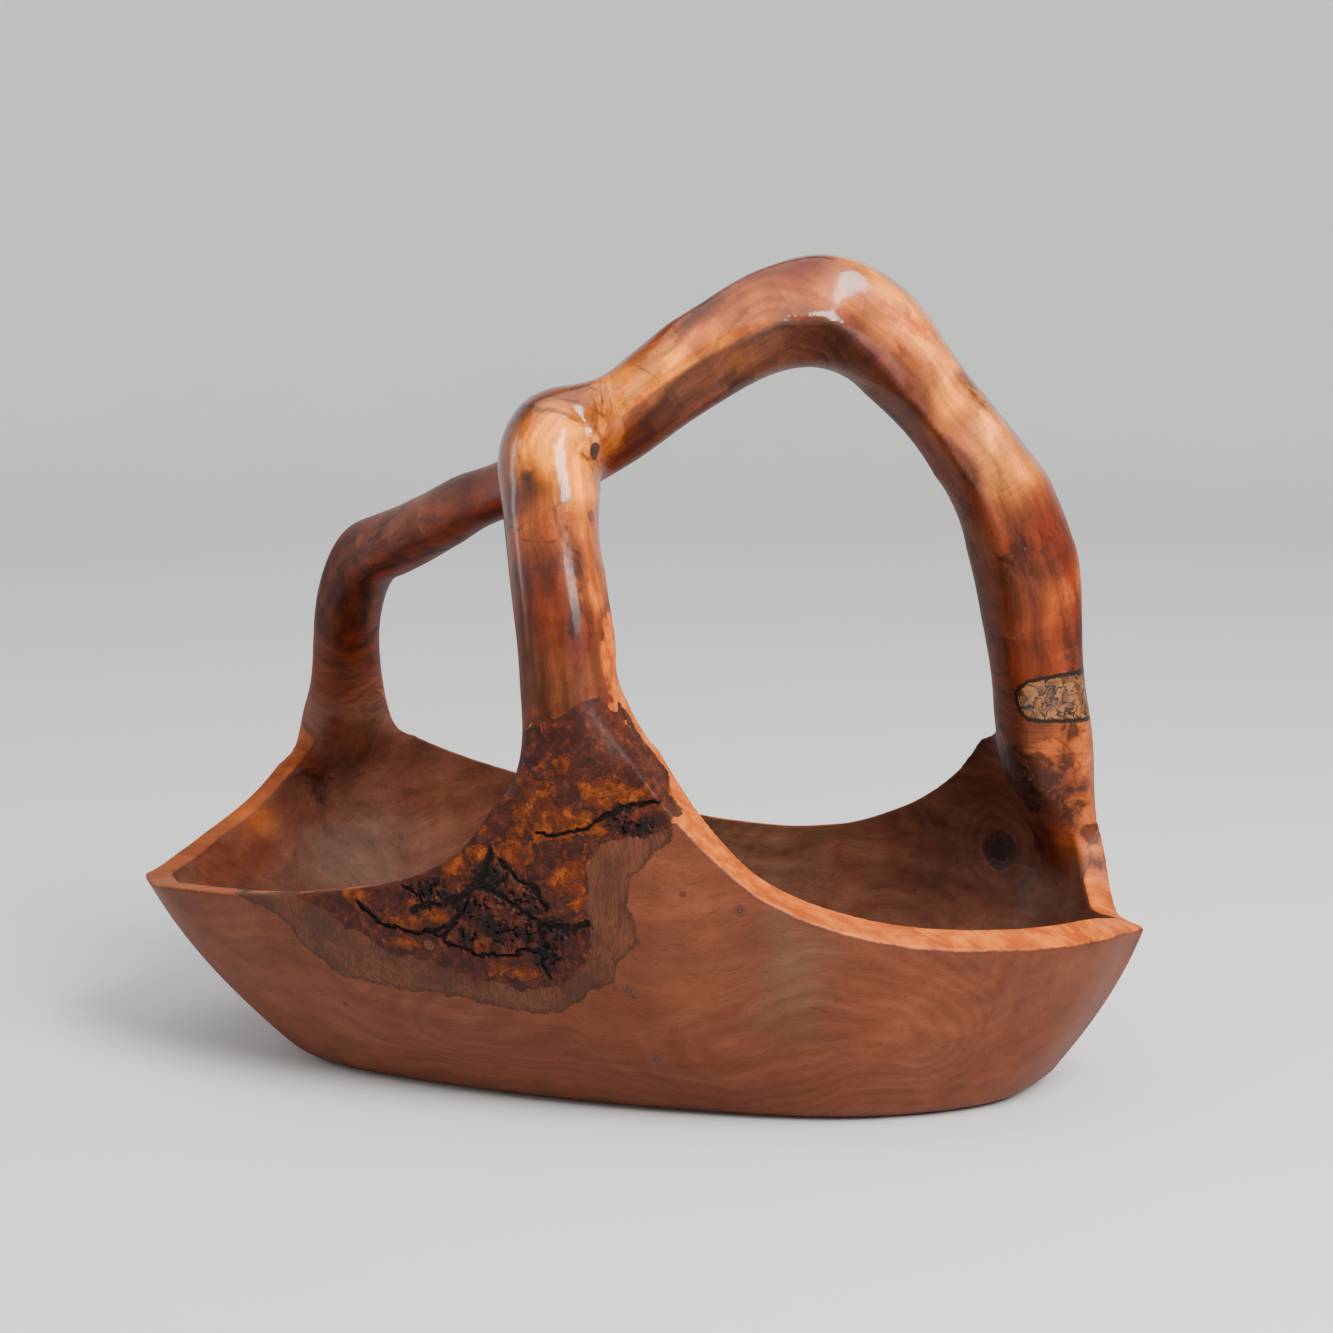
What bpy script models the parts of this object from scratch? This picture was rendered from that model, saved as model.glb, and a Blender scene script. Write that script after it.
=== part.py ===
"""Carved wooden basket bowl: a boat-shaped bowl whose wall runs up into a three-legged branch handle.

The carving is modelled whole first, from lofted solids, and is then parted into its members
at the collars where one branch meets the next. The encased knots and bark pockets are plugs
of their own, set into the members with a hairline gap.

Frame: metres, +Z up, origin on the table under the middle of the base, X along the bowl.
Control points are written in millimetres.
"""
import math

import bmesh
import bpy
import numpy as np
from mathutils import Matrix, Vector

MM = 0.001

# ---- driving dimensions (mm) ----
RIM_Z = 64.0            # height at which the rim plan is drawn
FLARE_TOP_Z = 92.0      # height at which the flare of the wall would stand upright
FULLNESS_LEFT = 1.9     # 1 is a straight flare, 2 a round one
FULLNESS_RIGHT = 1.85
WALL = 10.5             # wall thickness of the bowl
LEG_WALL = 31.0         # thickness that the wall reaches where it has become a leg
THICKEN_Z = (85.0, 165.0)
FLOOR = 13.0            # thickness of the bottom
FLOOR_ROUND = 26.0      # radius between the inside wall and the floor
FOOT_ROUND = 3.0        # how far the foot's edge is drawn in
RIM_FADE = 9.0          # height over which the flare eases off above the rim
LEAN = 9.0              # how far the wall leans back along the legs, as a mean over the bowl
LEAN_SIDE = 10.0        # and how much less at the right end
LEAN_HEIGHT = 75.0      # height over which it leans that far
KERF = 0.3              # gap between neighbouring pieces
VOXEL = 2.4             # cell of the remesh that welds the lofts into one skin
FACES = 8000            # triangles left on the whole carving
FOOT_TRIM = 0.6         # planed off the foot, where the remesh leaves it uneven
PLAN_POINTS = 120       # points round the bowl
LEVEL_STEP = 9.0        # height between the bowl's rings
ABOVE_ALL = 320.0
LIMB_POINTS = 28        # points round a limb
LIMB_STEPS = 4          # rings from one station of a limb to the next

# ---- plans of the bowl (x, y), right tip to left tip and back ----
RIM_BACK = [(174, 6), (150, 47), (118, 72), (60, 92), (-10, 97), (-80, 95), (-135, 82),
            (-168, 58), (-190, 30), (-206, -8)]
RIM_FRONT = [(-206, -8), (-182, -40), (-142, -64), (-90, -82), (-30, -90), (30, -89),
             (85, -78), (130, -56), (160, -28), (174, 6)]
BASE_BACK = [(138, 12), (121, 42), (80, 62), (20, 70), (-60, 66), (-118, 44), (-140, 6)]
BASE_FRONT = [(-140, 6), (-126, -32), (-68, -51), (26, -57), (85, -48), (126, -20), (138, 12)]

# ---- height of the rim (degrees round the bowl from +X, z): it climbs each of the three legs ----
RIM_HEIGHT = [(-177, 60), (-164, 67), (-150, 73), (-141, 78), (-131, 84), (-119, 97),
              (-112, 114), (-107, 130), (-101, 142), (-94, 146), (-87, 140), (-80, 127),
              (-71.5, 111), (-63, 97), (-55, 86), (-42, 75), (-31, 69), (-18, 65.5), (-7, 64),
              (2, 61), (9, 60), (13.5, 67), (16, 79), (18.5, 94), (20.5, 105), (23, 115),
              (26, 119), (29, 117), (32, 112), (35, 105), (39, 96), (49, 81), (62, 71.5),
              (75, 69), (90, 70), (104, 73), (117, 77), (128, 81), (137, 87), (143, 93),
              (148, 100), (151.5, 108), (154, 114), (157, 115), (159, 108), (161, 97),
              (166, 80), (171, 71), (176, 65)]
# fall of the rim's face towards the outside (degrees round the bowl, slope)
RIM_SLOPE = [(-180, 0.1), (-120, 0.1), (-90, 0.3), (-60, 0.7), (-10, 0.7), (10, 0.2),
             (90, 0.3), (150, 0.2)]

# ---- limbs: (x, y, z, diameter, crispness of the whittled edges) ----
BEAM = [(-158, 70, 70, 4, 4), (-156, 69, 84, 13, 4), (-153, 68, 97, 26, 5),
        (-150, 66, 110, 35, 5), (-147, 63, 124, 32, 5), (-146, 60, 142, 29.5, 5),
        (-141, 52, 159, 29.5, 5), (-129, 40, 177, 29.5, 5), (-100, 15, 192, 27, 5),
        (-75, -8, 204, 25, 5), (-52, -26, 213, 23, 5), (-30, -36, 223, 25, 6),
        (-10, -37, 238, 31, 8), (8, -30, 253, 33, 11), (24, -20, 264, 34, 13),
        (43, -8, 274, 38, 14), (58, 0, 276, 41, 14), (72, 8, 269, 39, 14),
        (85, 14, 255, 34, 14), (98, 20, 238, 31, 13), (110, 25, 220, 34, 12),
        (119, 30, 203, 39, 8), (124, 35, 184, 41, 6), (126, 40, 164, 40, 5),
        (128, 45, 141, 38, 5), (130, 48, 122, 40, 5), (132, 50, 106, 37, 5),
        (134, 52, 92, 26, 5), (137, 54, 78, 13, 4), (139, 55, 68, 4, 4)]
FRONT_LEG = [(-12, -88, 84, 6, 6), (-12, -86, 100, 16, 6), (-11.5, -83, 116, 27, 6),
             (-12, -80, 132, 34, 6), (-14, -77, 149, 36, 6), (-16, -73, 166, 36.5, 6),
             (-19.5, -69, 182, 36, 6), (-22.5, -65, 198, 36, 6), (-25, -60, 215, 37, 6),
             (-28, -52, 230, 36.5, 6), (-25, -44, 238, 33, 6), (-14, -38, 240, 26, 6)]
# whittled flats round a limb: (degrees from its outer side towards the front, distance / radius)
BEAM_FLATS = [(0, 0.97), (55, 0.93), (140, 0.92), (190, 0.97), (235, 0.97), (280, 0.97), (320, 0.97)]
LEG_FLATS = [(10, 0.97), (46, 0.97), (84, 0.94), (124, 0.97), (172, 0.88), (235, 0.96), (280, 0.97),
             (325, 0.97)]

# ---- collars between members: point, direction along the branch, radius of the cut ----
COLLARS = {
    "front_collar": ((-13, -82, 145), (-0.38, 0.05, 0.92), 40),
    "left_collar": ((-148, 64, 122), (0.15, -0.20, 0.97), 34),
    "right_collar": ((129, 44, 150), (-0.05, -0.22, 0.97), 40),
    "knuckle_collar": ((-24, -50, 243), (0.45, 0.45, 0.77), 42),
    "left_fork": ((-41, -32, 219), (0.84, -0.38, 0.38), 20),
    "shoulder": ((118, 29, 206), (-0.45, -0.28, 0.85), 34),
}
# a point inside each member
MEMBERS = {
    "bowl": (0, 0, 6),
    "front_leg": (-19, -69, 182),
    "left_branch": (-100, 15, 192),
    "crown_branch": (58, 0, 276),
    "right_leg": (124, 35, 184),
}

# ---- knots and pockets: point on the surface, outward direction, half width, half height, depth,
#      waviness of the outline ----
PLUGS = {
    "bark_pocket": ((-30, -92, 79), (0.06, -1, 0.0), 27, 18, 5.5, 0.10),
    "spalted_patch": ((134, 28, 137), (0.30, -0.95, 0.0), 13, 7.5, 8, 0.03),
    "leg_bark": ((127, 36, 104), (-0.55, -0.75, -0.30), 8, 12, 5, 0.08),
    "wall_knot": ((112, 66, 72), (-0.46, -0.87, 0.10), 9, 8.5, 6, 0.02),
    "knuckle_knot": ((-10.5, -55, 231), (0.80, -0.58, -0.10), 2.4, 3.6, 5, 0.0),
    "pin_knot_left": ((-61, -87, 63), (-0.12, -0.95, -0.27), 2.2, 2.2, 3, 0.0),
    "pin_knot_middle": ((10, -87, 52), (0.04, -0.94, -0.34), 2.6, 2.6, 3, 0.0),
    "pin_knot_right": ((49, -89, 83), (0.16, -0.99, -0.04), 2.4, 2.4, 3, 0.0),
    "pin_knot_low": ((16, -73, 24), (0.04, -0.87, -0.49), 2.4, 2.4, 3, 0.0),
}
PLUG_PROUD = 12.0       # how far a plug's cutter stands out of the surface
SMALL_PLUG = 5.0        # half width below which a plug's outline has few points

# ---- finish: (red, green, blue), roughness ----
FINISH = {
    "bowl": ((0.36, 0.16, 0.07), 0.42),
    "front_leg": ((0.42, 0.16, 0.05), 0.25),
    "left_branch": ((0.34, 0.13, 0.05), 0.30),
    "crown_branch": ((0.52, 0.23, 0.09), 0.28),
    "right_leg": ((0.36, 0.12, 0.04), 0.28),
    "bark_pocket": ((0.05, 0.03, 0.02), 0.45),
    "spalted_patch": ((0.48, 0.30, 0.16), 0.35),
    "leg_bark": ((0.05, 0.03, 0.02), 0.45),
    "wall_knot": ((0.06, 0.04, 0.035), 0.40),
    "knuckle_knot": ((0.02, 0.015, 0.01), 0.45),
    "pin_knot_left": ((0.20, 0.07, 0.03), 0.40),
    "pin_knot_middle": ((0.22, 0.09, 0.04), 0.40),
    "pin_knot_right": ((0.20, 0.07, 0.03), 0.40),
    "pin_knot_low": ((0.18, 0.06, 0.03), 0.40),
}


# ---------------------------------------------------------------- curves
def spline(points, steps):
    """Centripetal Catmull-Rom curve through the points; extra columns are carried along."""
    pts = np.asarray(points, float)
    pts = np.vstack([2 * pts[0] - pts[1], pts, 2 * pts[-1] - pts[-2]])
    out = []
    for p0, p1, p2, p3 in zip(pts, pts[1:], pts[2:], pts[3:]):
        t1 = np.linalg.norm((p1 - p0)[:3]) ** 0.5
        t2 = t1 + np.linalg.norm((p2 - p1)[:3]) ** 0.5
        t3 = t2 + np.linalg.norm((p3 - p2)[:3]) ** 0.5
        t = np.linspace(t1, t2, steps, endpoint=False)[:, None]
        a1 = (t1 - t) / t1 * p0 + t / t1 * p1
        a2 = (t2 - t) / (t2 - t1) * p1 + (t - t1) / (t2 - t1) * p2
        a3 = (t3 - t) / (t3 - t2) * p2 + (t - t2) / (t3 - t2) * p3
        b1 = (t2 - t) / t2 * a1 + t / t2 * a2
        b2 = (t3 - t) / (t3 - t1) * a2 + (t - t1) / (t3 - t1) * a3
        out.append((t2 - t) / (t2 - t1) * b1 + (t - t1) / (t2 - t1) * b2)
    return np.vstack(out + [pts[-2:-1]])


def polar_plan(back, front):
    """Distance of a closed plan from the origin, as a function of the angle."""
    plan = np.vstack([spline(back, 24)[:-1], spline(front, 24)[:-1]])
    angle = np.unwrap(np.arctan2(plan[:, 1], plan[:, 0]))
    distance = np.hypot(plan[:, 0], plan[:, 1])
    turns = np.concatenate([angle - 2 * np.pi, angle, angle + 2 * np.pi])
    return lambda a: np.interp(a, turns, np.tile(distance, 3))


def periodic(table):
    """Smooth curve through (degrees, value) pairs without overshoot, repeating each turn."""
    degrees, values = np.array(table, float).T
    a = np.radians(np.concatenate([degrees - 360, degrees, degrees + 360]))
    v = np.tile(values, 3)
    h = np.diff(a)
    d = np.diff(v) / h
    m = np.zeros_like(v)
    rising = np.where(d[:-1] * d[1:] > 0)[0]
    w1 = 2 * h[rising + 1] + h[rising]
    w2 = h[rising + 1] + 2 * h[rising]
    m[rising + 1] = (w1 + w2) / (w1 / d[rising] + w2 / d[rising + 1])

    def curve(x):
        i = np.searchsorted(a, x) - 1
        s = (x - a[i]) / h[i]
        return (v[i] * (1 + 2 * s) * (1 - s) ** 2 + m[i] * h[i] * s * (1 - s) ** 2
                + v[i + 1] * s * s * (3 - 2 * s) + m[i + 1] * h[i] * s * s * (s - 1))
    return curve


rim_plan = polar_plan(RIM_BACK, RIM_FRONT)
base_plan = polar_plan(BASE_BACK, BASE_FRONT)
rim_height = periodic(RIM_HEIGHT)
rim_slope = periodic(RIM_SLOPE)


def wall_radius(a, z):
    """Outer surface of the bowl's wall: flaring up to the rim, then leaning back along the legs."""
    side = np.cos(a)
    power = (FULLNESS_RIGHT + FULLNESS_LEFT) / 2 + (FULLNESS_RIGHT - FULLNESS_LEFT) / 2 * side
    at_rim = RIM_Z / FLARE_TOP_Z
    low = np.clip(np.minimum(z, RIM_Z) / FLARE_TOP_Z, 0, 1)
    full = 1 - (1 - at_rim) ** power
    flare = (1 - (1 - low) ** power) / full
    rim_steepness = power * (1 - at_rim) ** (power - 1) / (FLARE_TOP_Z * full)
    above = np.maximum(z - RIM_Z, 0)
    flare = flare + rim_steepness * RIM_FADE * (1 - np.exp(-above / RIM_FADE))
    lean = (LEAN - LEAN_SIDE * side) * np.maximum((z - FLARE_TOP_Z) / LEAN_HEIGHT, 0) ** 2
    return base_plan(a) + (rim_plan(a) - base_plan(a)) * flare - lean


def wall_thickness(z):
    low, high = THICKEN_Z
    s = np.clip((z - low) / (high - low), 0, 1)
    return WALL + (LEG_WALL - WALL) * s * s * (3 - 2 * s)


# ---------------------------------------------------------------- solids
def new_object(name, mesh, guide=False):
    obj = bpy.data.objects.new(name, mesh)
    bpy.context.scene.collection.objects.link(obj)
    if guide:
        obj.hide_render = True
        obj.display_type = "WIRE"
    return obj


def loft(name, rings):
    """Closed solid through rings of points in millimetres, as a guide object."""
    bm = bmesh.new()
    loops = [[bm.verts.new(point * MM) for point in ring] for ring in rings]
    count = len(loops[0])
    for low, high in zip(loops, loops[1:]):
        for i in range(count):
            j = (i + 1) % count
            bm.faces.new((low[i], low[j], high[j], high[i]))
    for loop in (loops[0], loops[-1]):
        centre = bm.verts.new(sum((v.co for v in loop), Vector()) / count)
        for i in range(count):
            bm.faces.new((loop[i], loop[(i + 1) % count], centre))
    bmesh.ops.recalc_face_normals(bm, faces=bm.faces)
    mesh = bpy.data.meshes.new(name)
    bm.to_mesh(mesh)
    bm.free()
    return new_object(name, mesh, guide=True)


def polar_ring(a, r, z):
    return np.stack([r * np.cos(a), r * np.sin(a), np.broadcast_to(z, r.shape)], axis=1)


def turn(count):
    return np.linspace(-np.pi, np.pi, count, endpoint=False)


def hull_solid():
    a = turn(PLAN_POINTS)
    heights = np.concatenate([[0, 3, 7], np.arange(12, 201, LEVEL_STEP)])
    rings = [polar_ring(a, wall_radius(a, z), z) for z in heights]
    rings[0] = polar_ring(a, wall_radius(a, 0) - FOOT_ROUND, 0)
    return loft("guide_hull", rings)


def hollow_solid():
    """The inside: the outer wall moved in by its thickness, rounded off towards the floor."""
    a = turn(PLAN_POINTS)
    levels = np.concatenate([FLOOR + np.array([0, 1.5, 4, 9, 16]), np.arange(40, 206, LEVEL_STEP)])
    rings = []
    for z in levels:
        slope = (wall_radius(a, z + 2) - wall_radius(a, z - 2)) / 4
        r = wall_radius(a, z) - wall_thickness(z) * np.sqrt(1 + slope ** 2)
        depth = max(0.0, 1 - (z - FLOOR) / FLOOR_ROUND)
        rings.append(polar_ring(a, r - FLOOR_ROUND * (1 - math.sqrt(1 - depth ** 2)), z))
    return loft("guide_hollow", rings)


def above_rim_solid():
    """Everything above the rim, whose face falls towards the outside."""
    a = turn(2 * PLAN_POINTS)
    edge = rim_plan(a)
    rings = []
    for share in (0.1, 0.4, 0.7, 0.8, 0.87, 0.93, 1.0, 1.07, 1.15, 1.25):
        drop = rim_slope(a) * np.clip(edge * (share - 1), -25, 20)
        rings.append(polar_ring(a, edge * share, rim_height(a) - drop))
    rings.append(polar_ring(a, edge * 1.25, ABOVE_ALL))
    return loft("guide_above_rim", rings)


def limb_solid(name, stations, flats):
    """A branch along its centre line, whittled to soft-edged flats."""
    line = spline(stations, LIMB_STEPS)
    centre = line[:, :3]
    along = np.gradient(centre, axis=0)
    along /= np.linalg.norm(along, axis=1)[:, None]
    front = np.array([0.0, -1.0, 0.0])
    front = front - along * (along @ front)[:, None]
    front /= np.linalg.norm(front, axis=1)[:, None]
    outer = np.cross(front, along)
    phi = np.linspace(0, 2 * np.pi, LIMB_POINTS, endpoint=False)
    rings = []
    for c, f, o, (diameter, crisp) in zip(centre, front, outer, line[:, 3:]):
        reach = sum((np.maximum(0, np.cos(phi - math.radians(t))) / d) ** crisp for t, d in flats)
        r = (diameter / 2 * reach ** (-1 / crisp))[:, None]
        rings.append(c + r * (np.cos(phi)[:, None] * o + np.sin(phi)[:, None] * f))
    return loft(name, rings)


def box_solid(name, low, high):
    bm = bmesh.new()
    bmesh.ops.create_cube(bm, size=1)
    size = Vector(high) - Vector(low)
    middle = (Vector(high) + Vector(low)) / 2
    bmesh.ops.transform(bm, matrix=Matrix.Diagonal((*size, 1)), verts=bm.verts)
    bmesh.ops.translate(bm, vec=middle, verts=bm.verts)
    bmesh.ops.scale(bm, vec=(MM, MM, MM), verts=bm.verts)
    mesh = bpy.data.meshes.new(name)
    bm.to_mesh(mesh)
    bm.free()
    return new_object(name, mesh, guide=True)


def add_boolean(obj, operation, tool, solver="EXACT"):
    modifier = obj.modifiers.new(tool.name, "BOOLEAN")
    modifier.operation = operation
    modifier.object = tool
    modifier.solver = solver


def baked(obj):
    """The object's mesh with its modifiers applied."""
    graph = bpy.context.evaluated_depsgraph_get()
    return bpy.data.meshes.new_from_object(obj.evaluated_get(graph), depsgraph=graph)


# ---------------------------------------------------------------- the whole carving
def whole_carving():
    """The rim and the limbs use the MANIFOLD solver: EXACT leaves open edges on them."""
    blank = hull_solid()
    add_boolean(blank, "DIFFERENCE", hollow_solid())
    add_boolean(blank, "DIFFERENCE", above_rim_solid(), "MANIFOLD")
    add_boolean(blank, "UNION", limb_solid("guide_beam", BEAM, BEAM_FLATS), "MANIFOLD")
    add_boolean(blank, "UNION", limb_solid("guide_front_leg", FRONT_LEG, LEG_FLATS), "MANIFOLD")
    weld = blank.modifiers.new("weld", "REMESH")
    weld.mode = "VOXEL"
    weld.voxel_size = VOXEL * MM
    soften = blank.modifiers.new("soften", "SMOOTH")
    soften.factor = 0.5
    soften.iterations = 6
    welded = baked(blank)
    carving = new_object("guide_carving", welded, guide=True)
    thin = carving.modifiers.new("thin", "DECIMATE")
    triangles = sum(len(face.vertices) - 2 for face in welded.polygons)
    thin.ratio = FACES / triangles
    add_boolean(carving, "DIFFERENCE", box_solid("guide_table", (-260, -160, -40), (260, 160, FOOT_TRIM)))
    mesh = baked(carving)
    mesh.transform(Matrix.Translation((0, 0, -FOOT_TRIM * MM)))
    return mesh


# ---------------------------------------------------------------- members
def collar_cut(name):
    """A saw cut one kerf thick across a branch."""
    point, direction, radius = COLLARS[name]
    normal = Vector(direction).normalized()
    bm = bmesh.new()
    bmesh.ops.create_cone(bm, cap_ends=True, segments=24, radius1=radius * MM, radius2=radius * MM,
                          depth=KERF * MM)
    turned = normal.to_track_quat("Z", "Y").to_matrix().to_4x4()
    bmesh.ops.transform(bm, matrix=Matrix.Translation(Vector(point) * MM) @ turned, verts=bm.verts)
    mesh = bpy.data.meshes.new(name)
    bm.to_mesh(mesh)
    bm.free()
    return new_object("guide_" + name, mesh, guide=True)


def loose_piece(mesh, inside):
    """A copy of the mesh that keeps only the loose piece nearest to the given point."""
    bm = bmesh.new()
    bm.from_mesh(mesh)
    seed = min(bm.verts, key=lambda vert: (vert.co - Vector(inside) * MM).length)
    piece = {seed}
    front = [seed]
    while front:
        for edge in front.pop().link_edges:
            for vert in edge.verts:
                if vert not in piece:
                    piece.add(vert)
                    front.append(vert)
    bmesh.ops.delete(bm, geom=[vert for vert in bm.verts if vert not in piece], context="VERTS")
    kept = bpy.data.meshes.new(mesh.name)
    bm.to_mesh(kept)
    bm.free()
    return kept


def plug_cutter(name, grow):
    """Prism with a rounded, slightly wavy outline that enters the wood along its direction."""
    point, direction, half_width, half_height, depth, wave = PLUGS[name]
    outward = Vector(direction).normalized()
    across = outward.cross(Vector((0, 0, 1))).normalized()
    up = across.cross(outward)
    count = 12 if half_width < SMALL_PLUG else 28
    phi = np.linspace(0, 2 * np.pi, count, endpoint=False)
    r = 1 + wave * (np.sin(3 * phi + 1.0) + 0.7 * np.sin(5 * phi + 2.2))
    rings = []
    for share, level in ((0.8, -depth - grow), (1.0, PLUG_PROUD)):
        u = (half_width * share + grow) * r * np.cos(phi)
        v = (half_height * share + grow) * r * np.sin(phi)
        rings.append(np.array(point) + np.outer(u, across) + np.outer(v, up) + np.array(outward) * level)
    return loft("guide_" + name + ("_seat" if grow else "_plug"), rings)


def finish(obj):
    colour, roughness = FINISH[obj.name]
    material = bpy.data.materials.new(obj.name)
    material.use_nodes = True
    shader = material.node_tree.nodes["Principled BSDF"]
    shader.inputs["Base Color"].default_value = (*colour, 1)
    shader.inputs["Roughness"].default_value = roughness
    shader.inputs["Metallic"].default_value = 0.0
    obj.data.materials.clear()
    obj.data.materials.append(material)
    obj.data.shade_smooth()
    obj.data.set_sharp_from_angle(angle=math.radians(40))


def build():
    for obj in list(bpy.data.objects):
        bpy.data.objects.remove(obj)
    carving = whole_carving()
    parted = new_object("guide_parted", carving.copy(), guide=True)
    for name in PLUGS:
        add_boolean(parted, "DIFFERENCE", plug_cutter(name, KERF))
    for name in COLLARS:
        add_boolean(parted, "DIFFERENCE", collar_cut(name))
    pieces = baked(parted)
    for name, inside in MEMBERS.items():
        finish(new_object(name, loose_piece(pieces, inside)))
    for name in PLUGS:
        block = new_object("guide_block_" + name, carving.copy(), guide=True)
        add_boolean(block, "INTERSECT", plug_cutter(name, 0.0))
        finish(new_object(name, loose_piece(baked(block), PLUGS[name][0])))


build()
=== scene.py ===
"""Looks of the carved basket bowl: one carving with smooth joins, parted at its collars.

The carving is a blend of level sets (wall, hollow, rim cut and two limbs) built from the same
control values as the CAD. Its surface is meshed, refined where it needs fine detail, carved
with cracks, and then parted into the CAD's pieces. Lengths are in millimetres until a mesh
is made. +X runs along the bowl to its right end, -Y faces the front and +Z is up.
"""
import math

import bmesh
import bpy
import numpy as np
import openvdb as vdb
from mathutils import Matrix, Vector, noise


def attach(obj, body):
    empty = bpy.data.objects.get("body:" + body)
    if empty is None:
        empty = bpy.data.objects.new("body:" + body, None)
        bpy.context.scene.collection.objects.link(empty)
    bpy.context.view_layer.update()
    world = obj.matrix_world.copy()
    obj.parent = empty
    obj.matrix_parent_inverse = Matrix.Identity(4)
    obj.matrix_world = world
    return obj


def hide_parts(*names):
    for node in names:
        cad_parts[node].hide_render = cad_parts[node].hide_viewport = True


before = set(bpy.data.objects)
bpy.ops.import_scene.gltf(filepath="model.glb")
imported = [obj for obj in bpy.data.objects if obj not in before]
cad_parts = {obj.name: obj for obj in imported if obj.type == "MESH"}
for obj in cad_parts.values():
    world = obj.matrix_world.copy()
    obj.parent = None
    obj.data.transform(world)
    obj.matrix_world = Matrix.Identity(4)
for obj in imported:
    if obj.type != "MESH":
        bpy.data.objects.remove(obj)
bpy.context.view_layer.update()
MM = 0.001
NOISE_SEED = 4
noise.seed_set(NOISE_SEED)      # or each run's cracks would wander differently

# ---- driving dimensions, as in the CAD ----
RIM_Z = 64.0
FLARE_TOP_Z = 92.0
FULLNESS_LEFT = 1.9
FULLNESS_RIGHT = 1.85
LIP = 9.0               # height in which the flare fades above the rim
LEAN = 9.0              # how far the wall leans back one LEAN_RUN above the flare
LEAN_TO_LEFT = 10.0
LEAN_RUN = 75.0
FOOT_TUCK = 4.0
WALL = 10.5
LEG_WALL = 31.0
THICKEN_Z = (85.0, 165.0)
FLOOR = 13.0
SEAM = 0.02             # gap between the visible pieces

# ---- level sets ----
CELL = 1.6
BAND = 18.0
LOW = np.array([-215.0, -115.0, -12.0])
HIGH = np.array([190.0, 120.0, 315.0])
SHAPE = ((HIGH - LOW) / CELL).astype(int) + 1
LEVELS = np.arange(-20.0, 205.0, 4.0)
FLOOR_ROUND = 34.0
FOOT_ROUND = 7.0
RIM_ROUND = 1.6
HORN_ROUND = 12.0       # extra rounding of the horns' tops
LIMB_BLEND = 7.0
HORN_BLEND = 9.0

RIM_BACK = [(174, 6), (150, 47), (118, 72), (60, 92), (-10, 97), (-80, 95), (-135, 82),
            (-168, 58), (-190, 30), (-206, -8)]
RIM_FRONT = [(-206, -8), (-182, -40), (-142, -64), (-90, -82), (-30, -90), (30, -89),
             (85, -78), (130, -56), (160, -28), (174, 6)]
BASE_BACK = [(138, 12), (121, 42), (80, 62), (20, 70), (-60, 66), (-118, 44), (-140, 6)]
BASE_FRONT = [(-140, 6), (-126, -32), (-68, -51), (26, -57), (85, -48), (126, -20), (138, 12)]
RIM_HEIGHT = [(-177, 60), (-164, 67), (-150, 73), (-141, 78), (-131, 84), (-119, 97),
              (-112, 114), (-107, 130), (-101, 142), (-94, 146), (-87, 140), (-80, 127),
              (-71.5, 111), (-63, 97), (-55, 86), (-42, 75), (-31, 69), (-18, 65.5), (-7, 64),
              (2, 61), (9, 60), (13.5, 67), (16, 79), (18.5, 94), (20.5, 105), (23, 115),
              (26, 119), (29, 117), (32, 112), (35, 105), (39, 96), (49, 81), (62, 71.5),
              (75, 69), (90, 70), (104, 73), (117, 77), (128, 81), (137, 87), (143, 93),
              (148, 100), (151.5, 108), (154, 114), (157, 115), (159, 108), (161, 97),
              (166, 80), (171, 71), (176, 65)]
RIM_SLOPE = [(-180, 0.1), (-120, 0.1), (-90, 0.3), (-60, 0.7), (-10, 0.7), (10, 0.2),
             (90, 0.3), (150, 0.2)]

# ---- limbs: (x, y, z, diameter, crispness of the whittled edges) ----
BEAM = [(-158, 70, 70, 4, 4), (-156, 69, 84, 13, 4), (-153, 68, 97, 26, 5),
        (-150, 66, 110, 35, 5), (-147, 63, 124, 32, 5), (-146, 60, 142, 29.5, 5),
        (-141, 52, 159, 29.5, 5), (-129, 40, 177, 29.5, 5), (-100, 15, 192, 27, 5),
        (-75, -8, 204, 25, 5), (-52, -26, 213, 23, 5), (-30, -36, 223, 25, 6),
        (-10, -37, 238, 31, 8), (8, -30, 253, 33, 11), (24, -20, 264, 34, 13),
        (43, -8, 274, 38, 14), (58, 0, 276, 41, 14), (72, 8, 269, 39, 14),
        (85, 14, 255, 34, 14), (98, 20, 238, 31, 13), (110, 25, 220, 34, 12),
        (119, 30, 203, 39, 8), (124, 35, 184, 41, 6), (126, 40, 164, 40, 5),
        (128, 45, 141, 38, 5), (130, 48, 122, 40, 5), (132, 50, 106, 37, 5),
        (134, 52, 92, 26, 5), (137, 54, 78, 13, 4), (139, 55, 68, 4, 4)]
FRONT_LEG = [(-12, -88, 84, 6, 6), (-12, -86, 100, 16, 6), (-11.5, -83, 116, 27, 6),
             (-12, -80, 132, 34, 6), (-14, -77, 149, 36, 6), (-16, -73, 166, 36.5, 6),
             (-19.5, -69, 182, 36, 6), (-22.5, -65, 198, 36, 6), (-25, -60, 215, 37, 6),
             (-28, -52, 230, 36.5, 6), (-25, -44, 238, 33, 6), (-14, -38, 240, 26, 6)]
BEAM_FLATS = [(0, 0.97), (55, 0.93), (140, 0.92), (190, 0.97), (235, 0.97), (280, 0.97), (320, 0.97)]
LEG_FLATS = [(10, 0.97), (46, 0.97), (84, 0.94), (124, 0.97), (172, 0.88), (235, 0.96), (280, 0.97),
             (325, 0.97)]

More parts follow.
